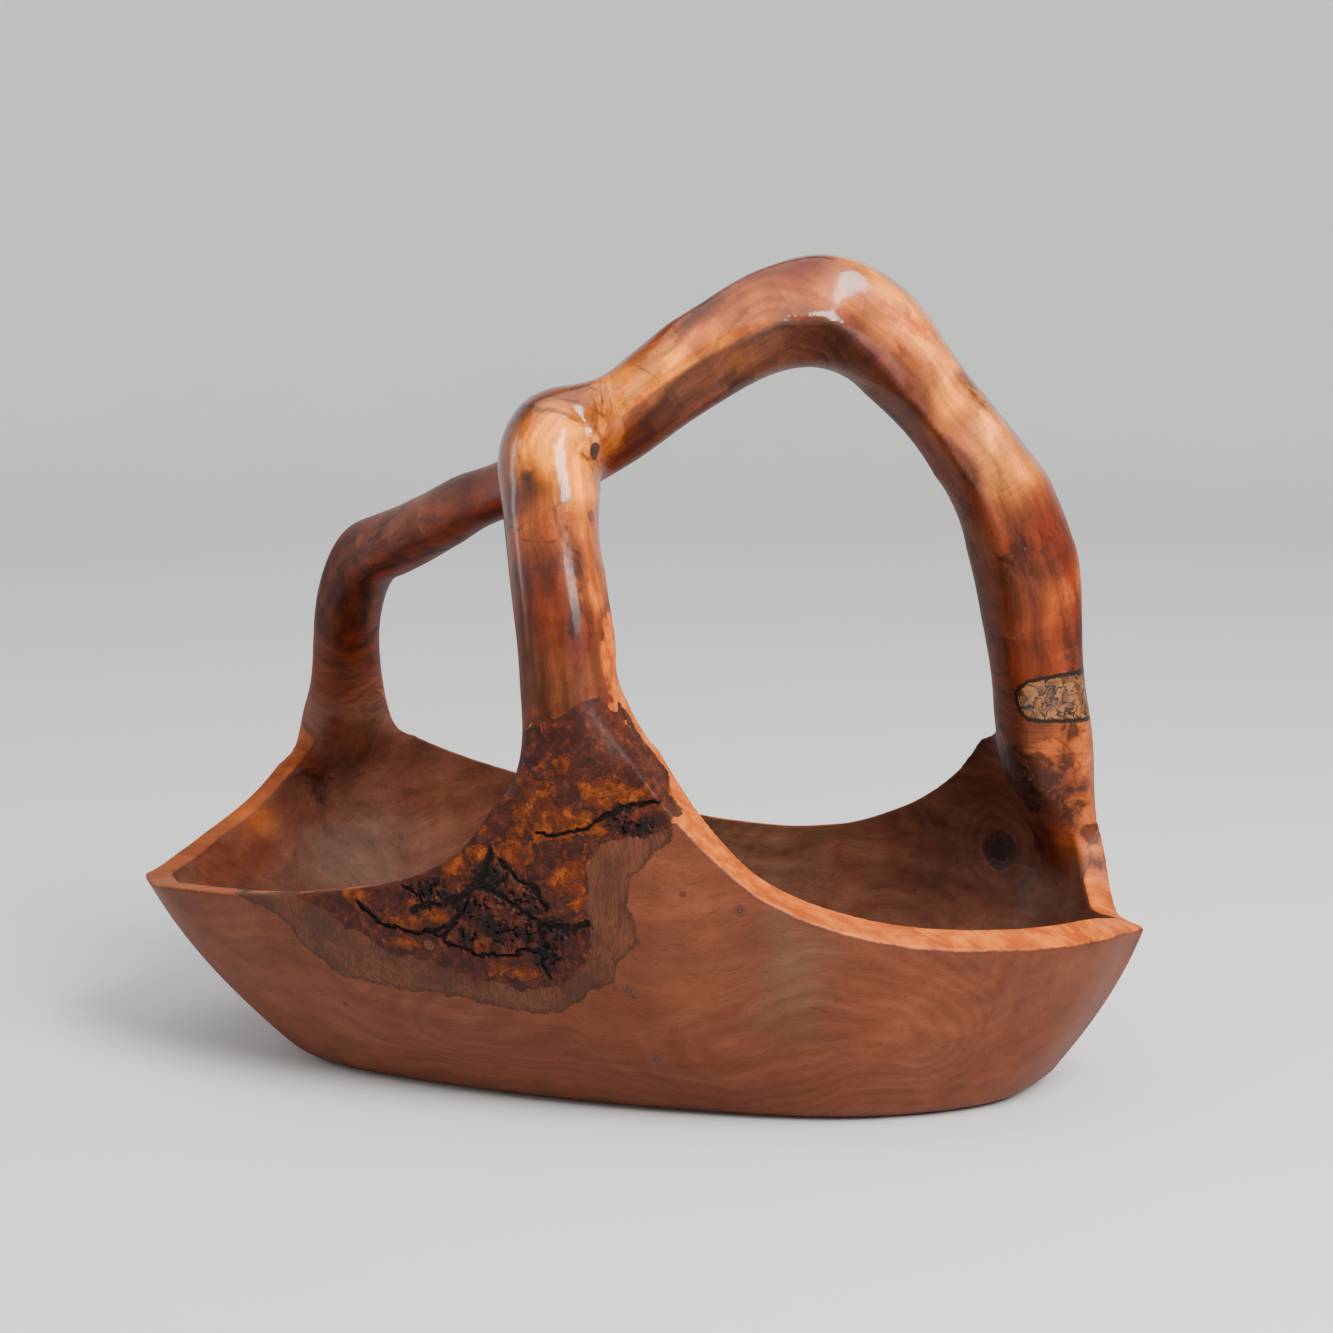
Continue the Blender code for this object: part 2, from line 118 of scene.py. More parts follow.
# ---- parting of the carving, as in the CAD ----
COLLARS = [((-13, -82, 145), (-0.38, 0.05, 0.92), 40),
           ((-148, 64, 122), (0.15, -0.20, 0.97), 34),
           ((129, 44, 150), (-0.05, -0.22, 0.97), 40),
           ((-24, -50, 243), (0.45, 0.45, 0.77), 42),
           ((-41, -32, 219), (0.84, -0.38, 0.38), 20),
           ((118, 29, 206), (-0.45, -0.28, 0.85), 34)]
MEMBERS = {
    "bowl": (0, 0, 6),
    "front_leg": (-19, -69, 182),
    "left_branch": (-100, 15, 192),
    "crown_branch": (58, 0, 276),
    "right_leg": (124, 35, 184),
}
# point on the surface, outward direction, half width, half height, depth, waviness
PLUGS = {
    "bark_pocket": ((-30, -92, 79), (0.06, -1, 0.0), 27, 18, 5.5, 0.10),
    "spalted_patch": ((134, 28, 137), (0.30, -0.95, 0.0), 13, 7.5, 8, 0.03),
    "leg_bark": ((127, 36, 104), (-0.55, -0.75, -0.30), 8, 12, 5, 0.08),
    "wall_knot": ((112, 66, 72), (-0.46, -0.87, 0.10), 9, 8.5, 6, 0.02),
    "knuckle_knot": ((-10.5, -55, 231), (0.80, -0.58, -0.10), 2.4, 3.6, 5, 0.0),
    "pin_knot_left": ((-61, -87, 63), (-0.12, -0.95, -0.27), 2.2, 2.2, 3, 0.0),
    "pin_knot_middle": ((10, -87, 52), (0.04, -0.94, -0.34), 2.6, 2.6, 3, 0.0),
    "pin_knot_right": ((49, -89, 83), (0.16, -0.99, -0.04), 2.4, 2.4, 3, 0.0),
    "pin_knot_low": ((16, -73, 24), (0.04, -0.87, -0.49), 2.4, 2.4, 3, 0.0),
}
PLUG_PROUD = 12.0


# ---------------------------------------------------------------- curves
def spline(points, steps):
    """Centripetal Catmull-Rom curve through the points; extra columns are carried along."""
    pts = np.asarray(points, float)
    pts = np.vstack([2 * pts[0] - pts[1], pts, 2 * pts[-1] - pts[-2]])
    out = []
    for p0, p1, p2, p3 in zip(pts, pts[1:], pts[2:], pts[3:]):
        t1 = np.linalg.norm((p1 - p0)[:3]) ** 0.5
        t2 = t1 + np.linalg.norm((p2 - p1)[:3]) ** 0.5
        t3 = t2 + np.linalg.norm((p3 - p2)[:3]) ** 0.5
        t = np.linspace(t1, t2, steps, endpoint=False)[:, None]
        a1 = (t1 - t) / t1 * p0 + t / t1 * p1
        a2 = (t2 - t) / (t2 - t1) * p1 + (t - t1) / (t2 - t1) * p2
        a3 = (t3 - t) / (t3 - t2) * p2 + (t - t2) / (t3 - t2) * p3
        b1 = (t2 - t) / t2 * a1 + t / t2 * a2
        b2 = (t3 - t) / (t3 - t1) * a2 + (t - t1) / (t3 - t1) * a3
        out.append((t2 - t) / (t2 - t1) * b1 + (t - t1) / (t2 - t1) * b2)
    return np.vstack(out + [pts[-2:-1]])


def polar_plan(back, front):
    """Distance of a closed plan from the origin, as a function of the angle."""
    plan = np.vstack([spline(back, 24)[:-1], spline(front, 24)[:-1]])
    angle = np.unwrap(np.arctan2(plan[:, 1], plan[:, 0]))
    distance = np.hypot(plan[:, 0], plan[:, 1])
    turns = np.concatenate([angle - 2 * np.pi, angle, angle + 2 * np.pi])
    return lambda a: np.interp(a, turns, np.tile(distance, 3))


def periodic(table):
    """Smooth curve through (degrees, value) pairs without overshoot, repeating each turn."""
    degrees, values = np.array(table, float).T
    a = np.radians(np.concatenate([degrees - 360, degrees, degrees + 360]))
    v = np.tile(values, 3)
    h = np.diff(a)
    d = np.diff(v) / h
    m = np.zeros_like(v)
    rising = np.where(d[:-1] * d[1:] > 0)[0]
    w1 = 2 * h[rising + 1] + h[rising]
    w2 = h[rising + 1] + 2 * h[rising]
    m[rising + 1] = (w1 + w2) / (w1 / d[rising] + w2 / d[rising + 1])

    def curve(x):
        i = np.searchsorted(a, x) - 1
        s = (x - a[i]) / h[i]
        return (v[i] * (1 + 2 * s) * (1 - s) ** 2 + m[i] * h[i] * s * (1 - s) ** 2
                + v[i + 1] * s * s * (3 - 2 * s) + m[i + 1] * h[i] * s * s * (s - 1))
    return curve


rim_plan = polar_plan(RIM_BACK, RIM_FRONT)
base_plan = polar_plan(BASE_BACK, BASE_FRONT)
rim_height = periodic(RIM_HEIGHT)
rim_slope = periodic(RIM_SLOPE)


def smoothstep(x, low, high):
    s = np.clip((x - low) / (high - low), 0, 1)
    return s * s * (3 - 2 * s)


def lengths(vectors):
    return np.linalg.norm(vectors, axis=1)


def unit(vectors):
    return vectors / np.maximum(lengths(vectors), 1e-6)[:, None]


def wall_radius(a, z):
    """Outer surface of the bowl's wall: flaring up to the rim, then leaning back along the legs."""
    side = np.cos(a)
    power = (FULLNESS_RIGHT + FULLNESS_LEFT) / 2 + (FULLNESS_RIGHT - FULLNESS_LEFT) / 2 * side
    at_rim = RIM_Z / FLARE_TOP_Z
    low = np.clip(np.minimum(z, RIM_Z) / FLARE_TOP_Z, 0, 1)
    full = 1 - (1 - at_rim) ** power
    flare = (1 - (1 - low) ** power) / full
    rim_steepness = power * (1 - at_rim) ** (power - 1) / (FLARE_TOP_Z * full)
    above = np.maximum(z - RIM_Z, 0)
    flare = flare + rim_steepness * LIP * (1 - np.exp(-above / LIP))
    lean = (LEAN - LEAN_TO_LEFT * side) * np.maximum((z - FLARE_TOP_Z) / LEAN_RUN, 0) ** 2
    below = FOOT_TUCK * np.clip(-z / 10, 0, 1)
    return base_plan(a) + (rim_plan(a) - base_plan(a)) * flare - lean - below


def wall_thickness(z):
    return WALL + (LEG_WALL - WALL) * smoothstep(z, *THICKEN_Z)


# ---------------------------------------------------------------- lofts
def polar_ring(a, r, z):
    return np.stack([r * np.cos(a), r * np.sin(a), np.broadcast_to(z, r.shape)], axis=1)


def turn(count):
    return np.linspace(-np.pi, np.pi, count, endpoint=False)


def hull_rings():
    a = turn(360)
    return [polar_ring(a, wall_radius(a, z), z) for z in LEVELS]


def hollow_rings():
    a = turn(360)
    rings = []
    for z in LEVELS:
        slope = (wall_radius(a, z + 2) - wall_radius(a, z - 2)) / 4
        rings.append(polar_ring(a, wall_radius(a, z) - wall_thickness(z) * np.sqrt(1 + slope ** 2), z))
    return rings


def above_rim_rings():
    """Everything above the rim, whose face falls towards the outside."""
    a = turn(720)
    edge = rim_plan(a)
    rings = []
    for share in (0.1, 0.3, 0.5, 0.7, 0.8, 0.85, 0.9, 0.95, 1.0, 1.05, 1.15, 1.25):
        drop = rim_slope(a) * np.clip(edge * (share - 1), -25, 20)
        rings.append(polar_ring(a, edge * share, rim_height(a) - drop))
    rings.append(polar_ring(a, edge * 1.25, 260.0))
    return rings


def limb_frame(stations, steps):
    """Centre line of a limb with its outer side, front side, diameter and crispness at each point."""
    line = spline(stations, steps)
    centre = line[:, :3]
    along = unit(np.gradient(centre, axis=0))
    front = np.array([0.0, -1.0, 0.0])
    front = unit(front - along * (along @ front)[:, None])
    return centre, np.cross(front, along), front, line[:, 3], line[:, 4]


def limb_rings(stations, flats):
    """A branch whittled to soft-edged flats, given as (degrees from the outer side, distance / radius)."""
    phi = np.linspace(0, 2 * np.pi, 64, endpoint=False)
    rings = []
    for c, o, f, diameter, crisp in zip(*limb_frame(stations, 10)):
        reach = sum((np.maximum(0, np.cos(phi - math.radians(t))) / d) ** crisp for t, d in flats)
        r = (diameter / 2 * reach ** (-1 / crisp))[:, None]
        rings.append(c + r * (np.cos(phi)[:, None] * o + np.sin(phi)[:, None] * f))
    return rings


def loft(rings):
    """Closed solid through the rings, with fans on both ends, facing outwards."""
    n = len(rings[0])
    m = len(rings)
    points = np.vstack(rings + [rings[0].mean(0)[None], rings[-1].mean(0)[None]])
    i = np.arange(n)
    j = (i + 1) % n
    band = np.stack([i, j, n + j, n + i], 1)
    quads = np.vstack([k * n + band for k in range(m - 1)])
    low = np.stack([j, i, np.full(n, m * n)], 1)
    high = np.stack([(m - 1) * n + i, (m - 1) * n + j, np.full(n, m * n + 1)], 1)
    triangles = np.vstack([low, high])
    a, b, c = points[np.vstack([triangles, quads[:, [0, 1, 2]], quads[:, [0, 2, 3]]]).T]
    if (a * np.cross(b, c)).sum() < 0:
        return points, quads[:, ::-1], triangles[:, ::-1]
    return points, quads, triangles


# ---------------------------------------------------------------- level sets
def grid_transform():
    matrix = np.diag([CELL, CELL, CELL, 1.0])
    matrix[3, :3] = LOW
    return vdb.createLinearTransform(matrix.tolist())


def level_set(rings):
    points, quads, triangles = loft(rings)
    grid = vdb.FloatGrid.createLevelSetFromPolygons(
        points.astype(np.float32), triangles=triangles.astype(np.uint32), quads=quads.astype(np.uint32),
        transform=grid_transform(), halfWidth=BAND / CELL)
    values = np.empty(SHAPE, np.float32)
    grid.copyToArray(values)
    return values


def soft_min(a, b, k):
    h = np.maximum(k - np.abs(a - b), 0) / k
    return np.minimum(a, b) - h * h * k / 4


def soft_max(a, b, k):
    return -soft_min(-a, -b, k)


def combine(parts, z):
    """Distance to the carving, from the distances to its parts at height z."""
    hull, hollow, above, beam, leg = parts
    solid = soft_max(hull, -z, FOOT_ROUND)
    shell = soft_max(solid, -soft_max(hollow, FLOOR - z, FLOOR_ROUND), RIM_ROUND)
    round_off = RIM_ROUND + HORN_ROUND * np.clip((z - 130) / 50, 0, 1) ** 1.5
    return soft_min(soft_max(shell, -above, round_off), soft_min(beam, leg, LIMB_BLEND), HORN_BLEND)


PARTS = [level_set(hull_rings()), level_set(hollow_rings()), level_set(above_rim_rings()),
         level_set(limb_rings(BEAM, BEAM_FLATS)), level_set(limb_rings(FRONT_LEG, LEG_FLATS))]
STACK = np.stack(PARTS, axis=-1)


def parts_at(points):
    """Distances to the parts at the points, between the cells' corners."""
    place = (points - LOW) / CELL
    cell = np.clip(np.floor(place).astype(int), 0, SHAPE - 2)
    share = (place - cell).astype(np.float32)
    total = 0
    for corner in np.ndindex(2, 2, 2):
        weight = np.prod(np.where(np.array(corner) == 1, share, 1 - share), axis=1)
        index = cell + corner
        total = total + weight[:, None] * STACK[index[:, 0], index[:, 1], index[:, 2]]
    return total.T


def distance_at(points):
    return combine(parts_at(points), points[:, 2])


def slope_at(points, reach=0.5):
    """Direction in which the distance to the carving grows, and how fast."""
    steps = np.eye(3) * reach
    rises = [distance_at(points + step) - distance_at(points - step) for step in steps]
    return np.stack(rises, axis=1) / (2 * reach)


def pull_to_surface(points, rounds=2, longest=1.0):
    for _ in range(rounds):
        slope = slope_at(points)
        size = np.maximum((slope ** 2).sum(1), 0.3)
        move = (distance_at(points) / size)[:, None] * slope
        points = points - move * np.minimum(1, longest / np.maximum(lengths(move), 1e-6))[:, None]
    return points


# ---------------------------------------------------------------- outlines on the front wall (x, z)
BURL = [(-146, 72), (-129, 69), (-117, 63), (-111, 53), (-99, 46), (-75, 44), (-56, 44), (-38, 41),
        (-16, 41), (-7, 46), (-4, 51), (5, 55), (7, 62), (15, 71), (14, 77), (11, 83), (12, 92),
        (18, 99), (26, 107), (27, 115), (21, 124), (15, 133), (8, 142), (1, 151), (-4, 151),
        (-12, 147), (-26, 141), (-50, 142), (-70, 112), (-100, 92), (-142, 82)]
PITH = [(-144, 78), (-136, 75), (-118, 74), (-102, 72), (-95, 66), (-84, 62), (-73, 57), (-61, 56),
        (-47, 52), (-29, 49), (-14, 52), (-4, 60), (-1, 72), (-3, 84), (-2, 97), (4, 106), (17, 106),
        (26, 110), (24, 122), (17, 133), (11, 143), (1, 154), (-12, 151), (-30, 146), (-55, 146),
        (-62, 118), (-76, 102), (-104, 94), (-142, 86)]
# cracks: half width in mm and the points that they run through (x, z)
CRACKS = [
    (0.8, [(-88, 75), (-81, 70), (-75, 68), (-64, 67), (-57, 69), (-50, 72)]),
    (0.9, [(-60, 68), (-53, 64), (-43, 61), (-31, 62), (-24, 65), (-19, 62)]),
    (1.3, [(-37, 99), (-39, 92), (-42, 87), (-46, 83), (-54, 79), (-67, 76)]),
    (1.2, [(-42, 86), (-34, 84), (-27, 79), (-19, 74), (-11, 73), (-2, 76)]),
    (1.0, [(-34, 96), (-28, 90), (-21, 87), (-17, 80)]),
    (1.0, [(-7, 108), (-1, 110), (2, 113), (9, 116), (17, 118), (22, 119)]),
    (0.7, [(-20, 106), (-12, 106), (-6, 109)]),
    (0.9, [(-20, 74), (-19, 68), (-20, 60), (-18, 55)]),
    (0.8, [(-56, 66), (-52, 72), (-47, 78)]),
    (0.7, [(-70, 84), (-64, 80), (-60, 76)]),
]
# soft blots on the front wall: (x, z, half width, half height)
BLACK_BLOTS = [(-37, 90, 9, 7), (-27, 82, 11, 8), (-45, 79, 12, 6), (-16, 73, 14, 5), (-30, 70, 14, 6),
               (-60, 82, 9, 6), (-46, 67, 7, 5), (-18, 64, 7, 8), (12, 110, 9, 4), (4, 112, 6, 3)]
AMBER_BLOTS = [(-20, 113, 10, 14), (-7, 111, 11, 9), (1, 120, 8, 6), (-28, 99, 10, 6), (-42, 97, 6, 4),
               (-10, 92, 8, 10), (-50, 93, 5, 6), (-72, 71, 9, 3), (-70, 63, 9, 3), (-42, 65, 6, 4),
               (-30, 56, 12, 4), (-8, 82, 5, 3), (12, 121, 7, 4), (-12, 131, 5, 4), (-88, 78, 7, 3),
               (-58, 74, 6, 3)]
SPALT = [(123.5, 137), (124, 141), (127, 143.5), (132, 144.5), (139, 145.5), (152, 146), (152, 128.5),
         (141, 129.5), (134, 130), (128, 130.5), (125, 133)]


def outline_distance(x, z, outline):
    """Signed distance to a closed outline in the plane, positive inside."""
    best = np.full(x.shape, 1e9)
    inside = np.zeros(x.shape, bool)
    for (x0, z0), (x1, z1) in zip(outline, outline[1:] + outline[:1]):
        dx, dz = x1 - x0, z1 - z0
        t = np.clip(((x - x0) * dx + (z - z0) * dz) / (dx * dx + dz * dz), 0, 1)
        best = np.minimum(best, np.hypot(x - x0 - t * dx, z - z0 - t * dz))
        crosses = (z0 > z) != (z1 > z)
        if dz:
            inside ^= crosses & (x < x0 + (z - z0) * dx / dz)
    return np.where(inside, best, -best)


def path_distance(points, path):
    """Distance to a path of straight runs, in as many dimensions as its points have."""
    best = np.full(len(points), 1e9)
    for a, b in zip(np.array(path, float), np.array(path[1:], float)):
        t = np.clip((points - a) @ (b - a) / ((b - a) @ (b - a)), 0, 1)
        best = np.minimum(best, lengths(points - a - t[:, None] * (b - a)))
    return best


def blots(x, z, spots):
    return np.max([np.exp(-((x - cx) / w) ** 2 - ((z - cz) / h) ** 2) for cx, cz, w, h in spots], axis=0)


# ---------------------------------------------------------------- the carving's mesh
FINE_Z = 120.0                  # the limbs, above this height, are refined
RIGHT_HORN = (98.0, 48.0)       # and so is the wall beyond this x and above this z
EDGE_REACH = (2.4, 2.6)         # how near a rim's edge is to the cut and to the wall's side
FRONT_Y = -40.0
SKIN = 4.0
JOIN_REACH = (5.0, 14.0)
JOIN_Z = (84.0, 104.0)
EASE_ROUNDS = 60
EASED = (0.02, 0.25)            # shifts at which a normal starts to follow, and follows, the mesh
CRACK_DEPTH = 1.3


def read(items, name, width=1, kind=np.float32):
    """One value, or one row of values, for each item of a mesh's collection."""
    flat = np.empty(len(items) * width, kind)
    items.foreach_get(name, flat)
    return flat.reshape(-1, width) if width > 1 else flat


def store(mesh, name, values):
    """Keeps a number or a vector for each point, as an attribute."""
    kind, key = ("FLOAT", "value") if values.ndim == 1 else ("FLOAT_VECTOR", "vector")
    data = mesh.attributes.new(name, kind, "POINT").data
    data.foreach_set(key, values.astype(np.float32).ravel())


def stored(mesh, name):
    return read(mesh.attributes[name].data, "vector", 3).astype(float)


def coordinates(mesh):
    return read(mesh.vertices, "co", 3).astype(float)


def set_coordinates(mesh, points):
    mesh.vertices.foreach_set("co", points.astype(np.float32).ravel())
    mesh.update()


def carving_mesh():
    z = LOW[2] + CELL * np.arange(SHAPE[2])
    field = combine(np.moveaxis(STACK, -1, 0), z[None, None, :].astype(np.float32))
    grid = vdb.FloatGrid(BAND)
    grid.copyFromArray(np.ascontiguousarray(field, np.float32))
    grid.transform = grid_transform()
    points, triangles, quads = grid.convertToPolygons()
    mesh = bpy.data.meshes.new("carving")
    mesh.from_pydata(points.tolist(), [], quads[:, ::-1].tolist() + triangles[:, ::-1].tolist())
    return mesh


def on_front_wall(points):
    return (points[:, 1] < FRONT_Y) & (np.abs(parts_at(points)[0]) < SKIN)


def fine_places(points):
    """Where the surface needs cells of half the size: limbs, rim edges, burl and right horn."""
    x, _, z = points.T
    hull, hollow, above = np.abs(parts_at(points)[:3])
    rim_edge = (above < EDGE_REACH[0]) & (np.minimum(hull, hollow) < EDGE_REACH[1])
    burl = on_front_wall(points) & (outline_distance(x, z, BURL) > -1)
    return (z > FINE_Z) | rim_edge | burl | (x > RIGHT_HORN[0]) & (z > RIGHT_HORN[1])


def finest_places(points):
    x, _, z = points.T
    return on_front_wall(points) & (outline_distance(x, z, PITH) > -2)


def refine(mesh, wanted):
    """Halves the edges of the faces whose middle is wanted."""
    chosen = wanted(read(mesh.polygons, "center", 3).astype(float))
    bm = bmesh.new()
    bm.from_mesh(mesh)
    bm.faces.ensure_lookup_table()
    edges = dict.fromkeys(edge for i in np.flatnonzero(chosen) for edge in bm.faces[i].edges)
    bmesh.ops.subdivide_edges(bm, edges=list(edges), cuts=1, use_grid_fill=True)
    bm.to_mesh(mesh)
    bm.free()
    set_coordinates(mesh, pull_to_surface(coordinates(mesh), 1))


def near_join(points):
    """How much of a join between wall and limb each point is, from 0 to 1."""
    hull, hollow, above, beam, leg = np.abs(parts_at(points))
    wall = np.minimum(np.minimum(hull, hollow), above)
    away = smoothstep(np.maximum(wall, np.minimum(beam, leg)), *JOIN_REACH)
    return (1 - away) * smoothstep(points[:, 2], *JOIN_Z)


def ease_joins(mesh):
    """Stores, as the attribute "ease", the shift that smooths the joins of wall and limbs."""
    points = coordinates(mesh)
    ends = read(mesh.edges, "vertices", 2, np.int32).T
    here, there = ends.ravel(), ends[::-1].ravel()
    count = np.bincount(here, minlength=len(points))
    share = near_join(points)
    eased = points.copy()
    for _ in range(EASE_ROUNDS):
        mean = np.stack([np.bincount(here, axis[there], len(points)) / count for axis in eased.T], axis=1)
        eased += 0.5 * share[:, None] * (mean - eased)
    store(mesh, "ease", eased - points)


def apply_ease(mesh):
    """Moves the points by their shift, and stores the surface's own slope there as "slope"."""
    points = coordinates(mesh)
    shift = stored(mesh, "ease")
    slope = unit(slope_at(points))
    set_coordinates(mesh, points + shift)
    follows = smoothstep(lengths(shift), *EASED)[:, None]
    store(mesh, "slope", slope + (read(mesh.vertex_normals, "vector", 3) - slope) * follows)
    mesh.attributes.remove(mesh.attributes["ease"])


def crack_at(points):
    """How far into a crack or pit of the burl each point on the front wall lies, from 0 to 1."""
    shake = np.array([noise.noise_vector(Vector(p) * 0.35) for p in points])
    jitter = np.array([noise.noise_vector(Vector(p) * 1.1) for p in points])
    moved = points + 1.5 * shake + 0.5 * jitter
    crack = np.zeros(len(points))
    for half, path in CRACKS:
        width = half * (1 + 0.6 * shake[:, 1])
        crack = np.maximum(crack, np.exp(-(path_distance(moved[:, [0, 2]], path) / width) ** 2))
    pits = np.array([noise.noise(Vector(p) * 0.55) for p in moved])
    black = blots(points[:, 0], points[:, 2], BLACK_BLOTS)
    return np.maximum(crack, 0.8 * black * smoothstep(pits, 0.05, 0.3))


def carve_cracks(mesh):
    points = coordinates(mesh)
    chosen = np.flatnonzero(finest_places(points))
    crack = np.zeros(len(points))
    crack[chosen] = crack_at(points[chosen])
    points[chosen] -= CRACK_DEPTH * crack[chosen][:, None] * unit(slope_at(points[chosen]))
    set_coordinates(mesh, points)
    store(mesh, "crack", crack)


# ---------------------------------------------------------------- parting
def joined_mesh(name, solids):
    """One mesh of several closed solids given as lists of rings, in metres."""
    points = []
    faces = []
    for rings in solids:
        p, quads, triangles = loft(rings)
        faces += (quads + len(points)).tolist() + (triangles + len(points)).tolist()
        points += (p * MM).tolist()
    mesh = bpy.data.meshes.new(name)
    mesh.from_pydata(points, [], faces)
    return mesh


def axes_across(direction):
    outward = np.array(direction, float) / np.linalg.norm(direction)
    across = np.cross(outward, (0, 0, 1))
    across /= np.linalg.norm(across)
    return outward, across, np.cross(across, outward)


def collar_rings(point, direction, radius):
    """A saw cut across a branch."""
    outward, across, up = axes_across(direction)
    phi = np.linspace(0, 2 * np.pi, 24, endpoint=False)
    circle = radius * (np.outer(np.cos(phi), across) + np.outer(np.sin(phi), up))
    return [np.array(point) + circle + side * SEAM / 2 * outward for side in (-1, 1)]


def plug_rings(name, grow):
    """Prism with a rounded, slightly wavy outline that enters the wood along its direction."""
    point, direction, half_width, half_height, depth, wave = PLUGS[name]
    outward, across, up = axes_across(direction)
    count = 24 if half_width < 5 else 56
    phi = np.linspace(0, 2 * np.pi, count, endpoint=False)
    r = 1 + wave * (np.sin(3 * phi + 1.0) + 0.7 * np.sin(5 * phi + 2.2))
    rings = []
    for share, level in ((0.8, -depth - grow), (1.0, PLUG_PROUD)):
        u = (half_width * share + grow) * r * np.cos(phi)
        v = (half_height * share + grow) * r * np.sin(phi)
        rings.append(np.array(point) + np.outer(u, across) + np.outer(v, up) + outward * level)
    return rings


def boolean(mesh, tool, operation):
    """EXACT takes minutes on a mesh this fine, so this is the MANIFOLD solver."""
    body = bpy.data.objects.new("boolean_body", mesh)
    cutter = bpy.data.objects.new("boolean_tool", tool)
    for obj in (body, cutter):
        bpy.context.scene.collection.objects.link(obj)
    modifier = body.modifiers.new("cut", "BOOLEAN")
    modifier.object = cutter
    modifier.operation = operation
    modifier.solver = "MANIFOLD"
    graph = bpy.context.evaluated_depsgraph_get()
    result = bpy.data.meshes.new_from_object(body.evaluated_get(graph), depsgraph=graph)
    for obj in (body, cutter):
        bpy.data.objects.remove(obj)
    return result


def loose_labels(mesh):
    """The number of the loose piece that each vertex belongs to."""
    a, b = read(mesh.edges, "vertices", 2, np.int32).T
    label = np.arange(len(mesh.vertices))
    while True:
        low = np.minimum(label[a], label[b])
        np.minimum.at(label, a, low)
        np.minimum.at(label, b, low)
        label = label[label]
        if np.array_equal(label[a], label[b]):
            return label


def loose_piece(mesh, labels, name, inside):
    """A new mesh of the loose piece nearest to the given point, with its attributes."""
    points = coordinates(mesh)
    seed = np.argmin(((points - np.array(inside) * MM) ** 2).sum(1))
    bm = bmesh.new()
    bm.from_mesh(mesh)
    others = [vert for vert, label in zip(bm.verts, labels) if label != labels[seed]]
    bmesh.ops.delete(bm, geom=others, context="VERTS")
    piece = bpy.data.meshes.new(name)
    bm.to_mesh(piece)
    bm.free()
    return piece


def parted_pieces():
    mesh = carving_mesh()
    set_coordinates(mesh, pull_to_surface(coordinates(mesh)))
    ease_joins(mesh)
    refine(mesh, fine_places)
    refine(mesh, finest_places)
    apply_ease(mesh)
    carve_cracks(mesh)
    mesh.transform(Matrix.Scale(MM, 4))
    plugs = boolean(mesh, joined_mesh("plugs", [plug_rings(name, 0) for name in PLUGS]), "INTERSECT")
    wood = boolean(mesh, joined_mesh("seats", [plug_rings(name, SEAM) for name in PLUGS]), "DIFFERENCE")
    for collar in COLLARS:
        wood = boolean(wood, joined_mesh("collar", [collar_rings(*collar)]), "DIFFERENCE")
    pieces = {}
    for whole, places in ((wood, MEMBERS), (plugs, {name: plug[0] for name, plug in PLUGS.items()})):
        labels = loose_labels(whole)
        for name, inside in places.items():
            pieces[name] = loose_piece(whole, labels, name, inside)
    return pieces


# ---------------------------------------------------------------- fields that the materials read
TONES = {
    "tan": (0.130, 0.037, 0.016), "pink": (0.150, 0.048, 0.025), "grey": (0.130, 0.065, 0.036),
    "sand": (0.220, 0.066, 0.025), "brown": (0.085, 0.015, 0.005), "umber": (0.055, 0.014, 0.006),
    "rust": (0.125, 0.018, 0.003), "orange": (0.56, 0.120, 0.008), "amber": (1.0, 0.29, 0.010),
    # the first tone on the next line is pale amber wood with a painted highlight: the glare on the crown's
    # right shoulder
    "amber_and_glare": (0.95, 0.29, 0.045), "plum": (0.085, 0.032, 0.024), "leg": (0.118, 0.030, 0.009),
    # the last tone here is painted shade, laid on the flats below the crown's crisp edge
    "dusk": (0.130, 0.048, 0.027), "under": (0.070, 0.021, 0.010),
}
